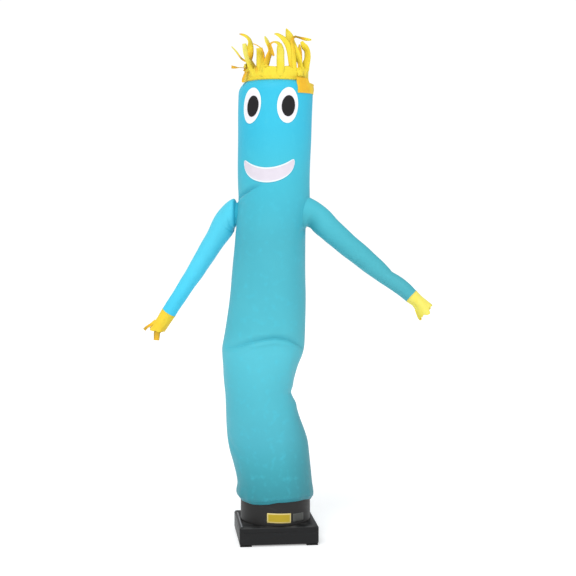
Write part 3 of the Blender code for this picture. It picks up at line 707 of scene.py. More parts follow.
def sleeveCrease(side, turn, gone):
    depth = 0.0
    for middle, where, spread, width, amount, slant in sleeveCreases[side]:
        apart = (turn - middle + math.pi) % (2 * math.pi) - math.pi
        across = (gone - where - slant * apart) / width
        depth += amount * math.exp(-(apart / spread) ** 2 - across**2)
    return depth


# Ribbons of the hair and the fingers

def ribbonGrid(line, normals, widths, cup, steps, across=5):
    # A strip of cloth along a line, cupped a little across its width
    grid = []
    for i in range(steps):
        ahead = Vector(line[min(i + 1, steps - 1)] - line[max(i - 1, 0)]).normalized()
        wide = (normals[i] - ahead * normals[i].dot(ahead)).normalized()
        face = ahead.cross(wide)
        row = []
        for j in range(across):
            s = 2 * j / (across - 1) - 1
            row.append(Vector(line[i]) + wide * (s * widths[i] / 2) + face * (cup * widths[i] * (s * s - 0.4)))
        grid.append([tuple(p) for p in row])
    return np.array(grid)


def turned(vector, axis, degrees):
    return Matrix.Rotation(math.radians(degrees), 3, axis) @ vector


def ribbon(name, path, wide, way, tangent, material, free=(0.012, 0.045)):
    # One strip of cloth as wide all along: path has place, seen width in mm and painted shade. Where
    # it looks narrower it has turned on edge. It leaves its root along the tangent
    steps = hair["steps"]
    line, travelled = curveThrough(path, steps)
    backward = viewerPlace(0, 1, 0) - viewerPlace(0, 0, 0)
    normals = []
    widths = []
    last = tangent
    tip = min(max(path[-1][3] / wide, 0.30), 1.0)
    for i in range(steps):
        ahead = Vector(line[min(i + 1, steps - 1), :3] - line[max(i - 1, 0), :3]).normalized()
        flat = ahead.cross(backward)
        flat = flat.normalized() if flat.length > 0.2 * backward.length else last
        if flat.dot(last) < 0:
            flat = -flat
        last = flat
        width = wide * float(np.interp(travelled[i] / travelled[-1], [0, 0.82, 1], [1, 1, tip]))
        seen = min(max(line[i, 3] / width, 0.12), 1.0)
        share = min(max((travelled[i] - free[0]) / (free[1] - free[0]), 0), 1)
        share = share * share * (3 - 2 * share)
        facing = turned(flat, ahead, way * math.degrees(math.acos(seen)))
        normals.append((tangent * (1 - share) + facing * share).normalized())
        widths.append(width * mm)
    grid = ribbonGrid(line[:, :3], normals, widths, hair["cup"], steps)
    piece = gridPiece(name, grid, (wide * mm, float(travelled[-1])), material)
    setAttribute(piece, "shade", np.repeat(line[:, 4], grid.shape[1]))
    thicken(piece, hair["thickness"], 0.0)
    return piece, wide * mm * float(travelled[-1])


hair = {
    "band": 0.052, "thickness": 0.7 * mm, "steps": 26, "cup": 0.09,
    # Strips that show in front: width in mm, which way it turns, and the places it passes as
    # right, back, up in mm from the rim's middle, the width that shows, and its painted shade
    "strips": [
        (22, 1, [(-116, -72, 42, 18, 0.8), (-127, -74, 37, 15, 1.0), (-135, -76, 21, 13, 1.0),
          (-140, -78, 3, 12, 0.9), (-141, -79, -6, 10, 0.8)]),
        (24, 1, [(-133, -40, 24, 16, 0.2), (-131, -42, 41, 12, 0.5), (-134, -44, 57, 4, 1.2),
          (-159, -46, 62, 4, 1.3), (-174, -48, 63, 12, 1.2), (-192, -50, 64, 14, 1.2)]),
        (24, -1, [(-120, -68, 21, 19, 0.1), (-114, -74, 48, 14, 0.0), (-119, -80, 73, 7, -0.4),
          (-148, -86, 93, 6, 1.5), (-169, -92, 120, 6, -0.4), (-189, -98, 143, 4, -0.6)]),
        (24, 1, [(-104, -90, 18, 24, 0.1), (-109, -91, 58, 23, -0.1), (-121, -93, 92, 22, -0.6),
          (-129, -94, 122, 22, -0.8), (-135, -96, 156, 17, -0.8)]),
        (29, 1, [(-110, -83, 17, 26, 0.5), (-107, -84, 53, 29, 0.7), (-114, -86, 83, 24, 1.2),
          (-110, -88, 114, 28, 0.7), (-110, -90, 140, 29, 0.3), (-108, -91, 159, 19, -0.2),
          (-114, -93, 176, 16, -0.2), (-129, -95, 189, 14, 0.2), (-144, -97, 194, 11, 0.6),
          (-156, -99, 196, 4, 1.5)]),
        (24, -1, [(-80, -111, 15, 19, 0.2), (-85, -109, 43, 11, 0.8), (-89, -108, 55, 7, 1.5),
          (-102, -106, 76, 6, 1.6), (-113, -105, 93, 4, 1.5)]),
        (24, 1, [(-47, -128, 13, 19, 0.2), (-50, -131, 52, 12, 0.1), (-51, -134, 83, 8, 0.6),
          (-52, -136, 113, 6, 1.2), (-62, -139, 129, 6, 0.8), (-78, -142, 141, 6, 0.8),
          (-96, -144, 148, 5, 0.8)]),
        (33, -1, [(-68, -118, 12, 32, 0.2), (-68, -117, 48, 33, 0.0), (-67, -116, 88, 33, -0.2),
          (-68, -115, 116, 31, -0.2), (-71, -114, 135, 26, -0.4)]),
        (34, 1, [(-62, -123, 12, 32, 0.3), (-55, -126, 38, 33, 0.2), (-43, -128, 65, 29, 0.5),
          (-30, -131, 97, 21, 0.9), (-22, -133, 118, 19, 0.7), (-28, -136, 140, 17, 0.2),
          (-39, -139, 163, 16, -0.5), (-47, -141, 179, 6, -0.8)]),
        (34, 1, [(17, -136, 10, 33, 0.2), (19, -140, 51, 34, 0.0), (19, -143, 93, 33, -0.4),
          (19, -147, 123, 31, -0.4), (12, -151, 148, 19, 0.0), (-3, -155, 154, 14, 0.4),
          (-19, -159, 150, 12, 0.9), (-26, -162, 138, 11, 1.2), (-19, -166, 117, 12, 1.1),
          (-9, -170, 92, 8, 1.1)]),
        (28, 1, [(-30, -134, 10, 28, 0.2), (-29, -129, 37, 27, 0.1), (-27, -124, 58, 19, 0.3)]),
        (28, -1, [(-6, -137, 10, 28, 0.2), (-5, -131, 34, 27, 0.1), (-6, -125, 56, 16, 0.0)]),
        (28, 1, [(47, -129, 11, 28, 0.2), (47, -124, 38, 27, 0.1), (46, -119, 59, 16, 0.2)]),
        (25, -1, [(75, -114, 13, 25, 0.2), (76, -110, 37, 24, 0.2), (74, -106, 56, 12, 0.3)]),
        (27, 1, [(78, -112, 14, 27, 0.3), (68, -115, 50, 24, 0.5), (63, -118, 79, 23, 0.4),
          (59, -121, 113, 25, 0.2), (50, -124, 145, 26, 0.0), (36, -126, 167, 24, -0.1),
          (19, -128, 182, 18, -0.2), (3, -130, 190, 12, -0.1), (-8, -131, 191, 4, 0.3)]),
        (36, -1, [(106, -97, 15, 24, 0.2), (101, -97, 66, 18, 0.2), (89, -97, 104, 28, 0.1),
          (74, -97, 135, 34, -0.1), (62, -98, 160, 36, -0.2), (55, -98, 189, 33, -0.3),
          (47, -97, 207, 16, -0.3), (42, -97, 218, 3, 0.0)]),
        (30, 1, [(-52, -126, 12, 30, 0.3), (-46, -127, 40, 28, 0.2), (-34, -129, 60, 20, 0.4)]),
        (24, 1, [(80, -111, 13, 22, 0.3), (77, -112, 80, 19, 0.3), (74, -113, 129, 16, 0.5),
          (70, -113, 169, 12, 0.9), (78, -114, 181, 6, 1.4), (92, -115, 178, 4, 1.5),
          (108, -115, 174, 7, 1.3), (120, -116, 171, 11, 0.6), (136, -117, 169, 11, -0.2),
          (149, -117, 168, 6, 0.2)]),
        (30, -1, [(122, -68, 15, 28, 0.3), (125, -69, 45, 29, 0.2), (128, -71, 70, 29, 0.1),
          (133, -72, 104, 27, 0.2), (130, -74, 130, 24, 0.3), (116, -76, 152, 26, 0.1),
          (108, -76, 168, 12, 0.0)]),
        (24, 1, [(102, -92, 16, 22, 0.8), (102, -89, 52, 19, 1.0), (102, -86, 96, 19, 1.0),
          (101, -83, 130, 17, 0.8), (99, -80, 155, 7, 0.6)]),
        (24, 1, [(120, -68, 11, 22, 0.4), (121, -62, 43, 21, 0.2), (120, -57, 75, 14, 0.1),
          (118, -52, 91, 5, 0.2)]),
    ],
    # Strips round the back: angle of the root seen from above (90 back), places as above
    # without width and painted shade, width, turn at the tip in degrees, painted shade
    "backStrips": [
        (347, [(134, -28, 66), (134, -14, 84), (126, 4, 88)], 28, 30, 0.3),
        (2, [(138, 8, 66), (134, 22, 86), (124, 44, 92)], 28, -20, 0.1),
        (17, [(132, 50, 64), (134, 74, 80), (128, 100, 76)], 28, 20, 0.4),
        (31, [(120, 80, 66), (130, 104, 84), (134, 130, 74)], 28, -30, 0.1),
        (45, [(100, 102, 64), (108, 128, 82), (112, 158, 70)], 28, 20, 0.3),
        (58, [(76, 122, 68), (84, 146, 90), (86, 172, 88)], 28, 30, 0.0),
        (71, [(48, 134, 64), (50, 160, 80), (44, 190, 64)], 28, -20, 0.4),
        (84, [(16, 142, 68), (10, 166, 90), (0, 192, 86)], 28, 25, 0.1),
        (97, [(-16, 142, 64), (-24, 168, 80), (-38, 194, 68)], 28, -30, 0.2),
        (110, [(-46, 134, 68), (-52, 158, 92), (-50, 182, 96)], 28, 15, 0.5),
        (123, [(-74, 122, 64), (-86, 144, 80), (-100, 166, 68)], 28, 35, 0.1),
        (136, [(-100, 102, 68), (-110, 126, 88), (-112, 152, 84)], 28, -20, 0.0),
        (148, [(-118, 78, 64), (-126, 100, 80), (-128, 126, 72)], 28, 25, 0.3),
        (160, [(-130, 52, 68), (-132, 74, 86), (-124, 98, 88)], 28, -35, 0.1),
        (172, [(-137, 22, 64), (-134, 42, 80), (-126, 62, 76)], 28, 20, 0.4),
        (184, [(-134, -12, 62), (-132, 6, 80), (-124, 22, 84)], 26, -15, 0.2),
    ],
}


def viewerPlace(right, back, up):
    # From the photographer's right, back and up, in mm from the rim's middle, to the frame
    turn = math.radians(viewTurn)
    left, rightEdge, _ = sectionsAt(np.array([tube["rimHeight"]]))
    middle = float((left[0] + rightEdge[0]) / 2)
    x = middle + (right * math.cos(turn) + back * math.sin(turn)) * mm
    y = (back * math.cos(turn) - right * math.sin(turn)) * mm
    return Vector((x, y, tube["rimHeight"] + up * mm)) + stand


def makeHair(material):
    bandTop = hair["band"]
    rows = np.linspace(0.6 * mm, bandTop, 14)
    turns = np.linspace(0, 360, 120, endpoint=False)
    grid = []
    paintedShades = []
    for rise in rows:
        ring = tubePoints(turns, np.full(turns.shape, tube["rimHeight"]), -0.4 * mm)
        wave = np.sin(np.radians(turns) * 9 + 1.0) * 1.6 * mm * (rise / bandTop) ** 2
        ring[:, 0] += np.cos(np.radians(turns)) * wave
        ring[:, 1] += np.sin(np.radians(turns)) * wave
        ring[:, 2] += rise + (rise / bandTop) ** 2 * 4 * mm * np.sin(np.radians(turns) * 13)
        grid.append(ring)
        # Painted shade: a darker orange line where the band was folded before it was sewn on
        fold = 0.5 * math.exp(-((rise / mm - 13) / 5) ** 2)
        paintedShades.append(0.08 + fold * (0.7 + 0.3 * np.sin(np.radians(turns) * 5)))
    band = gridPiece("band", np.array(grid), (0.87, bandTop), material, True)
    setAttribute(band, "shade", np.concatenate(paintedShades))
    thicken(band, hair["thickness"])
    pieces = [band]
    area = 0.87 * bandTop

    def tangentAt(right, back):
        return (viewerPlace(-back, right, 0) - viewerPlace(0, 0, 0)).normalized()

    for wide, way, path in hair["strips"]:
        rows = [tuple(viewerPlace(*point[:3])) + point[3:] for point in path]
        piece, size = ribbon("strip", rows, wide, way, tangentAt(*path[0][:2]), material)
        pieces.append(piece)
        area += size
    for angle, places, wide, turnBy, shade in hair["backStrips"]:
        onRing = math.radians(angle)
        right, back = 137 * math.cos(onRing), 137 * math.sin(onRing)
        path = [(right, back, 30), (right * 1.003, back * 1.003, 46)] + places
        line, travelled = curveThrough([tuple(viewerPlace(*p)) for p in path], hair["steps"])
        normals = []
        for i, gone in enumerate(travelled):
            ahead = Vector(line[min(i + 1, len(line) - 1)] - line[max(i - 1, 0)]).normalized()
            normals.append(turned(tangentAt(right, back), ahead, turnBy * gone / travelled[-1]))
        widths = wide * mm * np.interp(travelled / travelled[-1], [0, 0.75, 1], [1, 0.85, 0.4])
        strip = ribbonGrid(line, normals, widths, hair["cup"], hair["steps"])
        piece = gridPiece("strip", strip, (wide * mm, float(travelled[-1])), material)
        setAttribute(piece, "shade", np.full(len(piece.data.vertices), shade))
        thicken(piece, hair["thickness"], 0.0)
        pieces.append(piece)
        area += wide * mm * float(travelled[-1]) * 0.85
    piece = joinPieces("hair_cloth", pieces)
    return settle(piece, ["hair_fringe"])


# Cuffs: "ends" has how far the cloth reaches at each turn round (0 on top) in mm, "spread"
# has distance, half width and drop in mm. Fingers are ribbons, with their places as forward,
# up, sideways in mm from the sleeve's end, the width that shows and the painted shade
cuffs = {
    "left": {
        "ends": [(0, 103), (25, 100), (60, 92), (95, 86), (130, 92), (165, 86), (180, 84),
                 (200, 85), (225, 89), (240, 95), (255, 93), (270, 101), (290, 106), (308, 110),
                 (318, 103), (335, 108), (360, 103)],
        "spread": [(-10, 33.9, 0), (0, 33.9, 0), (40, 32, 0), (88, 32, -1), (115, 32, -3)],
        "shade": 0.45, "under": 0.75, "groove": (4.2, 20, 60, 1.5),
        "fingers": [
            ((60, 26, -14, 14, 0.5), (78, 31, -18, 13, 0.7), (96, 38, -19, 12, 1.1),
             (112, 44, -19, 13, 1.3), (127, 47, -17, 14, 1.3)),
            ((80, -12, -20, 28, 1.3), (97, -13, -26, 29, 1.4), (112, -21, -27, 28, 1.3), (128, -30, -26, 26, 1.2)),
        ],
    },
    "right": {
        "ends": [(0, 87), (20, 90), (40, 85), (55, 90), (68, 106), (86, 103), (104, 88), (125, 90),
                 (140, 84), (158, 95), (172, 90), (200, 76), (225, 90), (262, 84), (300, 92),
                 (330, 82), (360, 87)],
        "spread": [(-10, 31.4, 0), (0, 31.4, 0), (24, 28.5, -1), (47, 31, 1), (70, 36, 6),
                   (90, 41, 11), (110, 43, 13)],
        "shade": -0.60, "under": -0.2, "groove": (2.27, 10, 58, 2.6),
        "fingers": [
            ((50, -26, 16, 16, 0.0), (66, -35, 14, 14, -0.1), (80, -43, 12, 13, -0.2), (94, -48, 10, 11, 0.0)),
        ],
    },
}


def makeCuff(side, material):
    cuff = cuffs[side]
    centre, along, up, sideways, half, _ = sleeveFrames(sleeves[side])[-1]

    def place(forward, rise, aside):
        return centre + along * (forward * mm) + up * (rise * mm) + sideways * (aside * mm)

    turns = np.linspace(0, 2 * math.pi, 96, endpoint=False)
    atTurn, ends = np.array(cuff["ends"]).T
    reaches = np.interp(np.degrees(turns), atTurn, ends)
    forwards, halves, drops = np.array(cuff["spread"]).T
    middleTurn, grooveFrom, grooveTo, grooveDepth = cuff["groove"]
    grid = []
    paintedShades = []
    for step in np.concatenate([[-0.05, -0.02], np.linspace(0, 1, 26)]):
        ring = []
        for turn, end in zip(turns, reaches):
            # The band laps the sleeve's end, then flutters towards its slit edge
            forward = step * (end if step > 0 else 100)
            loose = max(step, 0.0)
            reach = np.interp(forward, forwards, halves)
            reach += 1.6 * loose**2 * math.sin(5 * turn + 1.0) - 1.0 * loose * math.sin(3 * turn + 5 * step)
            apart = (turn - middleTurn + math.pi) % (2 * math.pi) - math.pi
            shown = max(0.0, min((forward - grooveFrom) / 10, (grooveTo - forward) / 10, 1.0))
            reach -= grooveDepth * shown * math.exp(-(apart / 0.16) ** 2)
            drop = np.interp(forward, forwards, drops)
            ring.append(tuple(place(forward, reach * math.cos(turn) - drop, reach * math.sin(turn))))
            # Painted shade: the band turns more orange towards its underside
            low = max(0.0, -math.cos(turn)) * loose
            paintedShades.append(cuff["shade"] + (cuff["under"] - cuff["shade"]) * low)
        grid.append(ring)
    girth = 2 * math.pi * half
    band = gridPiece("band", np.array(grid), (girth, 0.10), material, True)
    setAttribute(band, "shade", paintedShades)
    thicken(band, hair["thickness"])
    pieces = [band]
    area = girth * 0.10
    for path in cuff["fingers"]:
        rows = [tuple(place(*point[:3])) + point[3:] for point in path]
        wide = max(point[3] for point in path)
        piece, size = ribbon("finger", rows, wide, 1, up, material, (0.0, 0.01))
        pieces.append(piece)
        area += size
    piece = joinPieces("cuff_" + side + "_cloth", pieces)
    flat = {"flat": (girth * 1.1, 0.12), "held": "stretched", "area": min(area, girth * 0.13),
            "rests_on": ["sleeve_" + side + "_cloth"]}
    return settle(piece, ["cuff_" + side])


# Face: patches with satin-stitched borders
face = {
    "angle": 254.6, "spread": 29.2, "eyeHeight": 1.8705, "eyeHalf": (0.0467, 0.0752),
    "pupilHalf": (0.0293, 0.0443), "pupilShift": {"left": 0.0072, "right": 0.0015},
    "pupilDrop": 0.0030,
    "lean": {"left": 0.095, "right": 0.03},
    "mouthAngle": 253.8, "mouthHalf": 0.1200, "mouthTop": 1.6085, "mouthBottom": 1.5455,
    "mouthCorner": 1.6490, "cornerDrop": 0.019, "cornerRound": 0.016, "mouthTilt": 0.003,
    "radius": 0.1593,
    "border": 0.0055, "thickness": 0.5 * mm,
}


def ovalPatch(name, angle, middle, half, out, material, node, border, lean):
    columns = 64
    shares = [0.0, 0.25, 0.5, 0.75, 0.86, 1 - border / half[0], 1 - 0.5 * border / half[0], 0.985, 1.0]
    lifts = [0.0, 0.0, 0.0, 0.0, 0.0, 0.15, 1.0, 0.6, 0.0]
    points = []
    edges = []
    for share, lift in zip(shares, lifts):
        turn = np.linspace(0, 2 * math.pi, columns, endpoint=False)
        up = half[1] * share * np.sin(turn)
        aside = middle[0] + half[0] * share * np.cos(turn) + lean * up
        angles = angle + np.degrees(aside / face["radius"])
        points.append(tubePoints(angles, middle[1] + up, out + 0.7 * mm * lift))
        edges.append(np.full(columns, 1.0 if lift > 0 or share == 1.0 else 0.0))
    span = (2 * half[0], 2 * half[1])
    grid = np.array(points)
    piece = newPatch(name, grid, material, np.concatenate(edges))
    thicken(piece, face["thickness"], -1.0)
    flat = {"flat": span, "held": "stretched", "area": math.pi / 4 * span[0] * span[1],
            "rests_on": ["tube_cloth"]}
    return settle(piece, [node])


def newPatch(name, grid, material, edges):
    # A round patch from rings that grow from its middle, with its cloth measure as UV
    rings, columns = grid.shape[:2]
    points = grid.reshape(-1, 3)
    low = points.min(axis=0)
    faces = []
    for ring in range(rings - 1):
        for column in range(columns):
            after = (column + 1) % columns
            faces.append([ring * columns + column, (ring + 1) * columns + column,
                          (ring + 1) * columns + after, ring * columns + after])
    uvs = []
    for patchFace in faces:
        for corner in patchFace:
            place = points[corner] - low
            uvs.append((math.hypot(place[0], place[1]), place[2]))
    piece = newPiece(name, points, faces, uvs, material)
    setAttribute(piece, "edge", edges)
    showOnly(piece)
    bpy.ops.object.mode_set(mode="EDIT")
    bpy.ops.mesh.select_all(action="SELECT")
    bpy.ops.mesh.remove_doubles(threshold=0.00001)
    bpy.ops.mesh.normals_make_consistent(inside=False)
    bpy.ops.object.mode_set(mode="OBJECT")
    piece.select_set(False)
    return piece


def makeEyes(white, black):
    for side, sign in (("left", -1), ("right", 1)):
        angle = face["angle"] + sign * face["spread"]
        lean = face["lean"][side]
        ovalPatch("eye_" + side + "_patch", angle, (0.0, face["eyeHeight"]), face["eyeHalf"],
                  1.5 * mm, white, "eye_" + side, face["border"], lean)
        middle = (face["pupilShift"][side], face["eyeHeight"] - face["pupilDrop"])
        ovalPatch("pupil_" + side + "_patch", angle, middle, face["pupilHalf"], 2.6 * mm, black,
                  "pupil_" + side, 0.004, lean)


def makeMouth(white):
    columns = 72
    rows = [0.0, 0.03, 0.07, 0.11, 0.35, 0.5, 0.65, 0.89, 0.93, 0.97, 1.0]
    lifts = [0.0, 0.7, 1.0, 0.02, 0.0, 0.0, 0.0, 0.02, 1.0, 0.7, 0.0]
    grid = []
    edges = []
    shares = np.sin(math.pi / 2 * np.linspace(-1, 1, columns))
    top = face["mouthTop"] + (face["mouthCorner"] - face["mouthTop"]) * shares**2
    lowCorner = face["mouthCorner"] - face["cornerDrop"]
    fall = 1 - np.sqrt(np.maximum(1 - shares**2, 0))
    bottom = face["mouthBottom"] + (lowCorner - face["mouthBottom"]) * fall
    # The upper corners are rounded off
    cornerStart = 1 - face["cornerRound"] / face["mouthHalf"]
    corner = np.clip((np.abs(shares) - cornerStart) / (1 - cornerStart), 0, 1)
    top = top - face["cornerRound"] * (1 - np.sqrt(1 - corner**2))
    for row, lift in zip(rows, lifts):
        # Wide at the middle, the border keeps its width where the crescent narrows
        height = bottom + (top - bottom) * row + face["mouthTilt"] * np.maximum(shares, 0)
        angles = face["mouthAngle"] + np.degrees(shares * face["mouthHalf"] / face["radius"])
        grid.append(tubePoints(angles, height, 1.5 * mm + 0.7 * mm * lift))
        atEnd = np.abs(shares) > 0.985
        edges.append(np.where(atEnd, 1.0, 1.0 if lift > 0.05 or row in (0.0, 1.0) else 0.0))
    span = (2 * face["mouthHalf"], face["mouthCorner"] - face["mouthBottom"])
    piece = gridPiece("mouth_patch", np.array(grid), span, white)
    setAttribute(piece, "edge", np.concatenate(edges))
    thicken(piece, face["thickness"])
    flat = {"flat": span, "held": "stretched", "area": 0.6 * span[0] * span[1],
            "rests_on": ["tube_cloth"]}
    return settle(piece, ["mouth"])


tab = {"angles": (-61.0, 14.0), "low": (1.9245, 1.934), "high": (1.992, 1.974), "flare": 0.016,
       "thickness": 0.8 * mm}


def makeTab(material):
    # Two layers folded over the rim at the right, standing off a little at their open end
    columns = 44
    share = np.linspace(0, 1, columns)
    start, end = tab["angles"]
    low = tab["low"][0] + (tab["low"][1] - tab["low"][0]) * share
    # The fold laps the rim at its left part
    lap = 1 - np.clip((share - 0.33) / 0.08, 0, 1)
    high = tab["high"][1] + (tab["high"][0] - tab["high"][1]) * lap * lap * (3 - 2 * lap)
    grid = []
    for up in np.linspace(0, 1, 14):
        angles = start + (end - start) * share
        height = low + (high - low) * up
        point = tubePoints(angles, np.full(columns, 1.945)) - standArray
        out = point[:, :2] / np.linalg.norm(point[:, :2], axis=1)[:, None]
        rim = tubePoints(angles, np.minimum(height, 1.968)) - standArray
        inner = np.linalg.norm(rim[:, :2], axis=1) - np.linalg.norm(point[:, :2], axis=1)
        puff = 2.0 * mm + np.maximum(inner, -0.010) + tab["flare"] * up**1.5 * share**1.5
        puff += 1.2 * mm * np.sin(math.pi * up) * share + 0.6 * mm * np.sin(share * 13 + up * 3)
        point[:, :2] += out * puff[:, None]
        point[:, 2] = height
        grid.append(point + standArray)
    span = (0.205, 0.050)
    piece = gridPiece("hair_tab_cloth", np.array(grid), span, material)
    # Painted shade: the tab takes the orange of two layers of cloth, varying along it
    setAttribute(piece, "shade", np.tile(0.75 + 0.25 * np.sin(share * 9), 14))
    thicken(piece, tab["thickness"])
    return settle(piece, ["hair_tab"])


# Sewing

def makeStitches(name, places, outs, material, length, gauge):
    # Short rounded stitches laid along a line of places, each half in the cloth
    points = []
    faces = []
    for i in range(len(places) - 1):
        first, second = Vector(places[i]), Vector(places[i + 1])
        ahead = (second - first).normalized()
        out = Vector(outs[i]).normalized()
        side = ahead.cross(out)
        base = len(points)
        for share, size in ((0.0, 0.35), (0.2, 1.0), (0.8, 1.0), (1.0, 0.35)):
            centre = first + ahead * (length * (share - 0.5)) + out * (gauge * 0.25)
            for turn in range(6):
                angle = math.pi * turn / 3
                points.append(centre + (side * math.cos(angle) + out * math.sin(angle)) * gauge * size / 2)
        for ring in range(3):
            for turn in range(6):
                after = (turn + 1) % 6
                faces.append([base + ring * 6 + turn, base + ring * 6 + after,
                              base + ring * 6 + 6 + after, base + ring * 6 + 6 + turn])
        faces.append([base + turn for turn in range(5, -1, -1)])
        faces.append([base + 18 + turn for turn in range(6)])
    piece = newPiece(name, points, faces, None, material)
    showOnly(piece)
    bpy.ops.object.mode_set(mode="EDIT")
    bpy.ops.mesh.select_all(action="SELECT")
    bpy.ops.mesh.normals_make_consistent(inside=False)
    bpy.ops.object.mode_set(mode="OBJECT")
    piece.select_set(False)
    return settle(piece)


def ringOfStitches(name, height, pitch, material, lift=0.2 * mm, zigzag=0.0):
    count = int(2 * math.pi * 0.155 / pitch)
    angles = np.linspace(0, 360, count + 1)
    heights = np.full(angles.shape, height) + zigzag * (np.arange(count + 1) % 2)
    places = tubePoints(angles, np.minimum(heights, tube["rimHeight"]), lift)
    places[:, 2] += heights - np.minimum(heights, tube["rimHeight"])
    outs = np.stack([np.cos(np.radians(angles)), np.sin(np.radians(angles)), np.zeros(count + 1)], axis=1)
    return makeStitches(name, places, outs, material, pitch * 0.62, 0.9 * mm)


def makeSewing(blueThread, yellowThread):
    hemLine = tube["hemHeight"] + tube["hemBand"] - 3 * mm
    ringOfStitches("hem_stitches", hemLine, 5 * mm, blueThread)
    ringOfStitches("hem_edge_stitches", tube["hemHeight"] + 4 * mm, 5 * mm, blueThread)
    ringOfStitches("rim_stitches", tube["rimHeight"] - 4 * mm, 5 * mm, blueThread)
    ringOfStitches("band_stitches", tube["rimHeight"] + 5 * mm, 5 * mm, yellowThread)
    # The tube's one long seam runs down the back
    count = int((tube["rimHeight"] - tube["hemHeight"] - 0.02) / (5 * mm))
    heights = np.linspace(tube["hemHeight"] + 0.012, tube["rimHeight"] - 0.008, count)
    for name, angle in (("back_seam_stitches", 88.6), ("back_seam_second_stitches", 91.4)):
        places = tubePoints(np.full(count, angle), heights, 0.2 * mm)
        outs = np.tile([[0.0, 1.0, 0.0]], (count, 1))
        makeStitches(name, places, outs, blueThread, 3.1 * mm, 0.9 * mm)
    for side in ("left", "right"):
        sleeve = sleeves[side]
        frames = sleeveFrames(sleeve)
        centre, along, up, sideways, half, _ = frames[-1]
        count = int(2 * math.pi * half / (4.5 * mm))
        places = []
        outs = []
        for i in range(count + 1):
            turn = 2 * math.pi * i / count
            out = up * math.cos(turn) + sideways * math.sin(turn)
            places.append(centre - along * (2 * mm) + out * (half + 1.5 * mm))
            outs.append(out)
        makeStitches("cuff_" + side + "_stitches", places, outs, yellowThread, 2.9 * mm, 0.9 * mm)


# Blower
blower = {
    "side": 0.340, "top": 0.083, "foot": 0.005, "round": 0.009, "wall": 0.003,
    "grooveUp": 0.060, "grooveDepth": 0.0012, "lipHeight": 0.006, "lipOut": 0.0015,
}


def selectFaces(piece, test):
    # Selects the faces whose middle and normal pass the test, in edit mode
    bpy.ops.mesh.select_all(action="DESELECT")
    shape = bmesh.from_edit_mesh(piece.data)
    for one in shape.faces:
        one.select_set(test(one.calc_center_median(), one.normal))
    bmesh.update_edit_mesh(piece.data)


def makeHousing(material):
    low = blower["foot"] + 0.3 * mm
    height = blower["top"] - low
    bpy.ops.mesh.primitive_cube_add(size=1, location=(stand.x, stand.y, low + height / 2),
                                    scale=(blower["side"], blower["side"], height))
    piece = bpy.context.object
    piece.name = "housing_shell"
    bpy.ops.object.transform_apply(location=True, rotation=True, scale=True)
    rounding = piece.modifiers.new("rounding", "BEVEL")
    rounding.width = blower["round"]
    rounding.segments = 6
    applyModifiers(piece)
    showOnly(piece)
    bpy.ops.object.mode_set(mode="EDIT")
    # A parting groove runs round the walls where the two mouldings meet
    for cut in (blower["grooveUp"], blower["grooveUp"] + 1.4 * mm):
        bpy.ops.mesh.select_all(action="SELECT")
        bpy.ops.mesh.bisect(plane_co=(0, 0, cut), plane_no=(0, 0, 1))
    groove = blower["grooveUp"]
    selectFaces(piece, lambda c, n: groove < c.z < groove + 1.4 * mm and abs(n.z) < 0.5)
    bpy.ops.mesh.inset(thickness=0.00001, depth=-blower["grooveDepth"])
    # The top is a shallow tray that the collar stands in
    selectFaces(piece, lambda c, n: n.z > 0.99 and c.z > blower["top"] - 0.1 * mm)
    bpy.ops.mesh.inset(thickness=0.003, depth=0)
    bpy.ops.mesh.inset(thickness=0.0015, depth=-0.0006)
    bpy.ops.object.mode_set(mode="OBJECT")
    piece.data.materials.append(material)
    piece.data.shade_smooth()
    showOnly(piece)
    bpy.ops.object.shade_smooth_by_angle(angle=math.radians(30))
    piece.select_set(False)
    return settle(piece, ["blower_housing"])


def makeHighlightStrip(material):
    # A lighter grey strip along the left edge of the housing's top: a painted highlight where the rounded edge
    # catches the light
    size = Vector((0.006, 0.270, 0.0032))
    place = Vector((stand.x - blower["side"] / 2 + 0.0115, stand.y - 0.018, blower["top"] + 1.1 * mm))
    bpy.ops.mesh.primitive_cube_add(size=1, location=place, scale=size)
    piece = bpy.context.object
    piece.name = "housing_highlight_strip"
    bpy.ops.object.transform_apply(location=True, rotation=True, scale=True)
    rounding = piece.modifiers.new("rounding", "BEVEL")
    rounding.width = 1.2 * mm
    rounding.segments = 4
    applyModifiers(piece)
    piece.data.materials.append(material)
    piece.data.shade_smooth()
    return settle(piece)


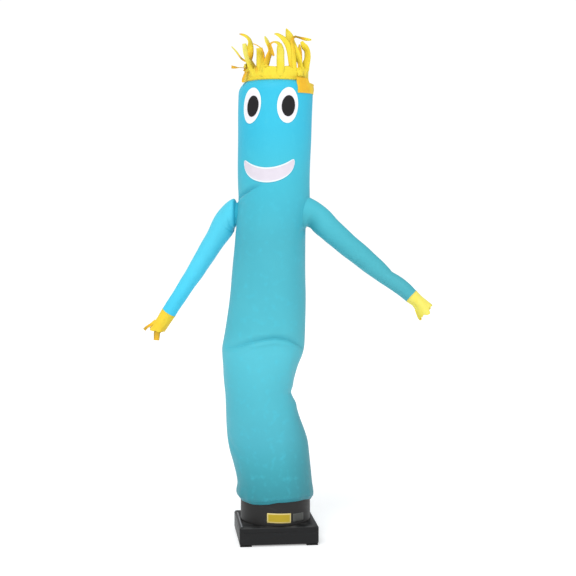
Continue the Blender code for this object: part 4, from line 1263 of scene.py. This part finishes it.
def makeCollar(material):
    # A thin ring with a rolled lip at the top and a foot flange where it meets the housing
    radius = (collarHigh.x - collarLow.x) / 2
    low, high = collarLow.z, collarHigh.z
    wall = blower["wall"]
    profile = [
        (radius - wall, low), (radius, low), (radius, low + 0.004), (radius - 0.0004, low + 0.006),
        (radius - 0.0004, high - 0.012), (radius, high - 0.008), (radius, high - 0.003),
        (radius - 0.001, high - 0.0008), (radius - 0.0016, high), (radius - wall + 0.0006, high),
        (radius - wall, high - 0.001),
    ]
    bpy.ops.mesh.primitive_circle_add(vertices=len(profile), radius=0.01, fill_type="NOTHING")
    piece = bpy.context.object
    piece.name = "collar_ring"
    for vertex, (reach, height) in zip(piece.data.vertices, profile):
        vertex.co = (stand.x + reach, stand.y, height)
    bpy.ops.object.mode_set(mode="EDIT")
    bpy.ops.mesh.select_all(action="SELECT")
    bpy.ops.mesh.spin(steps=144, angle=2 * math.pi, center=(stand.x, stand.y, 0), axis=(0, 0, 1))
    bpy.ops.mesh.select_all(action="SELECT")
    bpy.ops.mesh.remove_doubles(threshold=0.00005)
    bpy.ops.mesh.normals_make_consistent(inside=False)
    bpy.ops.object.mode_set(mode="OBJECT")
    piece.data.materials.append(material)
    piece.data.shade_smooth()
    showOnly(piece)
    bpy.ops.object.shade_smooth_by_angle(angle=math.radians(35))
    piece.select_set(False)
    return settle(piece, ["blower_collar"])


def makeFeet(material):
    for name in ("foot_front_left", "foot_front_right", "foot_back_left", "foot_back_right"):
        low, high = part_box(name)
        middle = (low + high) / 2
        size = high - low
        bpy.ops.mesh.primitive_cube_add(size=1, location=middle, scale=size)
        piece = bpy.context.object
        piece.name = name + "_pad"
        bpy.ops.object.transform_apply(location=True, rotation=True, scale=True)
        bpy.ops.object.mode_set(mode="EDIT")
        selectFaces(piece, lambda c, n: n.z < -0.9)
        bpy.ops.mesh.inset(thickness=0.003, depth=0)
        bpy.ops.object.mode_set(mode="OBJECT")
        rounding = piece.modifiers.new("rounding", "BEVEL")
        rounding.width = 1.2 * mm
        rounding.segments = 3
        rounding.limit_method = "ANGLE"
        applyModifiers(piece)
        piece.data.materials.append(material)
        piece.data.shade_smooth()
        showOnly(piece)
        bpy.ops.object.shade_smooth_by_angle(angle=math.radians(30))
        piece.select_set(False)
        settle(piece, [name])


stickers = {
    "yellow": {"angle": 270.3, "arc": 39.4, "bottom": 0.095, "top": 0.137, "slant": 0.0038,
               "slot": "yellow_sticker"},
    "grey": {"angle": 304.9, "arc": 21.8, "bottom": 0.0965, "top": 0.131, "slant": 0.0015,
             "slot": "grey_sticker"},
}


def makeSticker(name, material):
    sticker = stickers[name]
    radius = (collarHigh.x - collarLow.x) / 2 + 0.5 * mm
    angles = np.radians(sticker["angle"] + sticker["arc"] * np.linspace(-0.5, 0.5, 33))
    grid = []
    for height in np.linspace(sticker["bottom"], sticker["top"], 9):
        level = height - sticker["slant"] * np.linspace(-0.5, 0.5, 33)
        ring = np.stack([radius * np.cos(angles), radius * np.sin(angles), level], axis=1)
        grid.append(ring + standArray)
    width = math.radians(sticker["arc"]) * radius
    height = sticker["top"] - sticker["bottom"]
    piece = gridPiece("sticker_" + name + "_film", np.array(grid), (width, height), material)
    thicken(piece, 0.3 * mm, 1.0)
    return settle(piece, ["sticker_" + name])


def stickerSize(name):
    sticker = stickers[name]
    radius = (collarHigh.x - collarLow.x) / 2 + 0.5 * mm
    return math.radians(sticker["arc"]) * radius, sticker["top"] - sticker["bottom"]


# Stage
stage = {
    "cameraHeight": 1.3204, "cameraBack": 5.165, "cameraRight": 0.0553, "pitch": 2.51,
    "focal": 1186.0, "photoWidth": 576.0, "ambient": 0.43, "backdrop": 1.05,
    # Large soft lights: name, degrees to the photographer's left, degrees up, strength,
    # how many degrees wide
    "lights": [("key", 14, 50, 1.76, 40), ("fill", -50, 15, 0.50, 70), ("back", 150, 35, 0.45, 60)],
}


def makeStage():
    finish = Finish("studioFloor", 0.7, Specular_IOR_Level=0.1)
    speck = finish.noise(0.4, 2.0)
    finish.wire(finish.blend(speck, (0.86, 0.86, 0.86, 1), (0.90, 0.90, 0.90, 1)))
    finish.shader.inputs["Emission Color"].default_value = (1, 1, 1, 1)
    finish.shader.inputs["Emission Strength"].default_value = 0.34
    bpy.ops.mesh.primitive_plane_add(size=60, location=(0, 0, 0))
    floor = bpy.context.object
    floor.name = "studio_floor"
    floor.data.materials.append(finish.material)
    turn = math.radians(viewTurn)
    right = Vector((math.cos(turn), -math.sin(turn), 0))
    back = Vector((math.sin(turn), math.cos(turn), 0))
    place = stand + right * stage["cameraRight"] - back * stage["cameraBack"]
    data = bpy.data.cameras.new("camera")
    data.sensor_width = 36
    data.lens = stage["focal"] / stage["photoWidth"] * 36
    camera = bpy.data.objects.new("camera", data)
    bpy.context.scene.collection.objects.link(camera)
    camera.location = (place.x, place.y, stage["cameraHeight"])
    camera.rotation_euler = (math.radians(90 - stage["pitch"]), 0, -turn)
    bpy.context.scene.camera = camera
    world = bpy.data.worlds.new("studio")
    world.use_nodes = True
    tree = world.node_tree
    backdrop = tree.nodes["Background"]
    backdrop.inputs["Color"].default_value = (1.0, 1.0, 1.0, 1)
    backdrop.inputs["Strength"].default_value = stage["backdrop"]
    # The walls of the room send less light than the white backdrop shows
    walls = tree.nodes.new("ShaderNodeBackground")
    walls.inputs["Color"].default_value = (0.94, 0.97, 1.0, 1)
    walls.inputs["Strength"].default_value = stage["ambient"]
    seen = tree.nodes.new("ShaderNodeLightPath")
    choice = tree.nodes.new("ShaderNodeMixShader")
    tree.links.new(seen.outputs["Is Camera Ray"], choice.inputs[0])
    tree.links.new(walls.outputs[0], choice.inputs[1])
    tree.links.new(backdrop.outputs[0], choice.inputs[2])
    tree.links.new(choice.outputs[0], tree.nodes["World Output"].inputs["Surface"])
    bpy.context.scene.world = world
    bpy.context.scene.view_settings.view_transform = "Standard"
    for name, left, up, strength, wide in stage["lights"]:
        light = bpy.data.lights.new(name, "SUN")
        light.energy = strength
        light.angle = math.radians(wide)
        lamp = bpy.data.objects.new(name, light)
        bpy.context.scene.collection.objects.link(lamp)
        lamp.rotation_euler = (math.radians(90 - up), 0, -math.radians(viewTurn + left))


makeStage()
print("stage set")
bodyNylon = nylonFinish("bodyNylon", bodyColours)
sleeveNylons = {"left": nylonFinish("litLeftSleeveNylon", litLeftSleeveColours),
                "right": nylonFinish("shadedRightSleeveNylon", shadedRightSleeveColours)}
hairNylon = hairFinish()
whiteNylon = patchFinish("whiteNylon", (0.92, 0.89, 0.93, 1), (0.93, 0.97, 0.98, 1))
mouthNylon = patchFinish("mouthNylon", (0.76, 0.70, 0.78, 1), (0.86, 0.94, 0.97, 1))
blackNylon = patchFinish("blackNylon", (0.016, 0.014, 0.015, 1), (0.020, 0.018, 0.020, 1), 0.6)
blueThread = threadFinish("blueThread", (0.05, 0.42, 0.60, 1))
yellowThread = threadFinish("yellowThread", (0.90, 0.62, 0.05, 1))
housingPlastic = plasticFinish("housingPlastic", (0.009, 0.009, 0.0095, 1), gloss=0.22)
collarPlastic = plasticFinish("collarPlastic", (0.021, 0.020, 0.0195, 1), 0.0010, 0.5, 0.22)
# Painted highlight: light grey for the strip on the housing's left top edge
highlightPlastic = plasticFinish("highlightPlastic", (0.22, 0.22, 0.23, 1), roughness=0.4)
footRubber = plasticFinish("footRubber", (0.012, 0.012, 0.012, 1), 0.002, 0.7)
yellowFilm = stickerFinish("yellowFilm", (0.46, 0.33, 0.010, 1), (0.66, 0.54, 0.20, 1),
                           stickerSize("yellow"), 0.005)
greyFilm = stickerFinish("greyFilm", (0.062, 0.064, 0.058, 1), (0.085, 0.088, 0.082, 1), stickerSize("grey"))
makeTube(bodyNylon)
print("tube made")
for side in ("left", "right"):
    makeSleeve(side, sleeveNylons[side])
    makeCuff(side, hairNylon)
print("sleeves and cuffs made")
makeHair(hairNylon)
makeTab(hairNylon)
print("hair made")
makeEyes(whiteNylon, blackNylon)
makeMouth(mouthNylon)
print("face made")
makeSewing(blueThread, yellowThread)
print("sewing made")
makeHousing(housingPlastic)
makeHighlightStrip(highlightPlastic)
makeCollar(collarPlastic)
makeFeet(footRubber)
makeSticker("yellow", yellowFilm)
makeSticker("grey", greyFilm)
print("blower made")
bpy.ops.object.select_all(action="DESELECT")
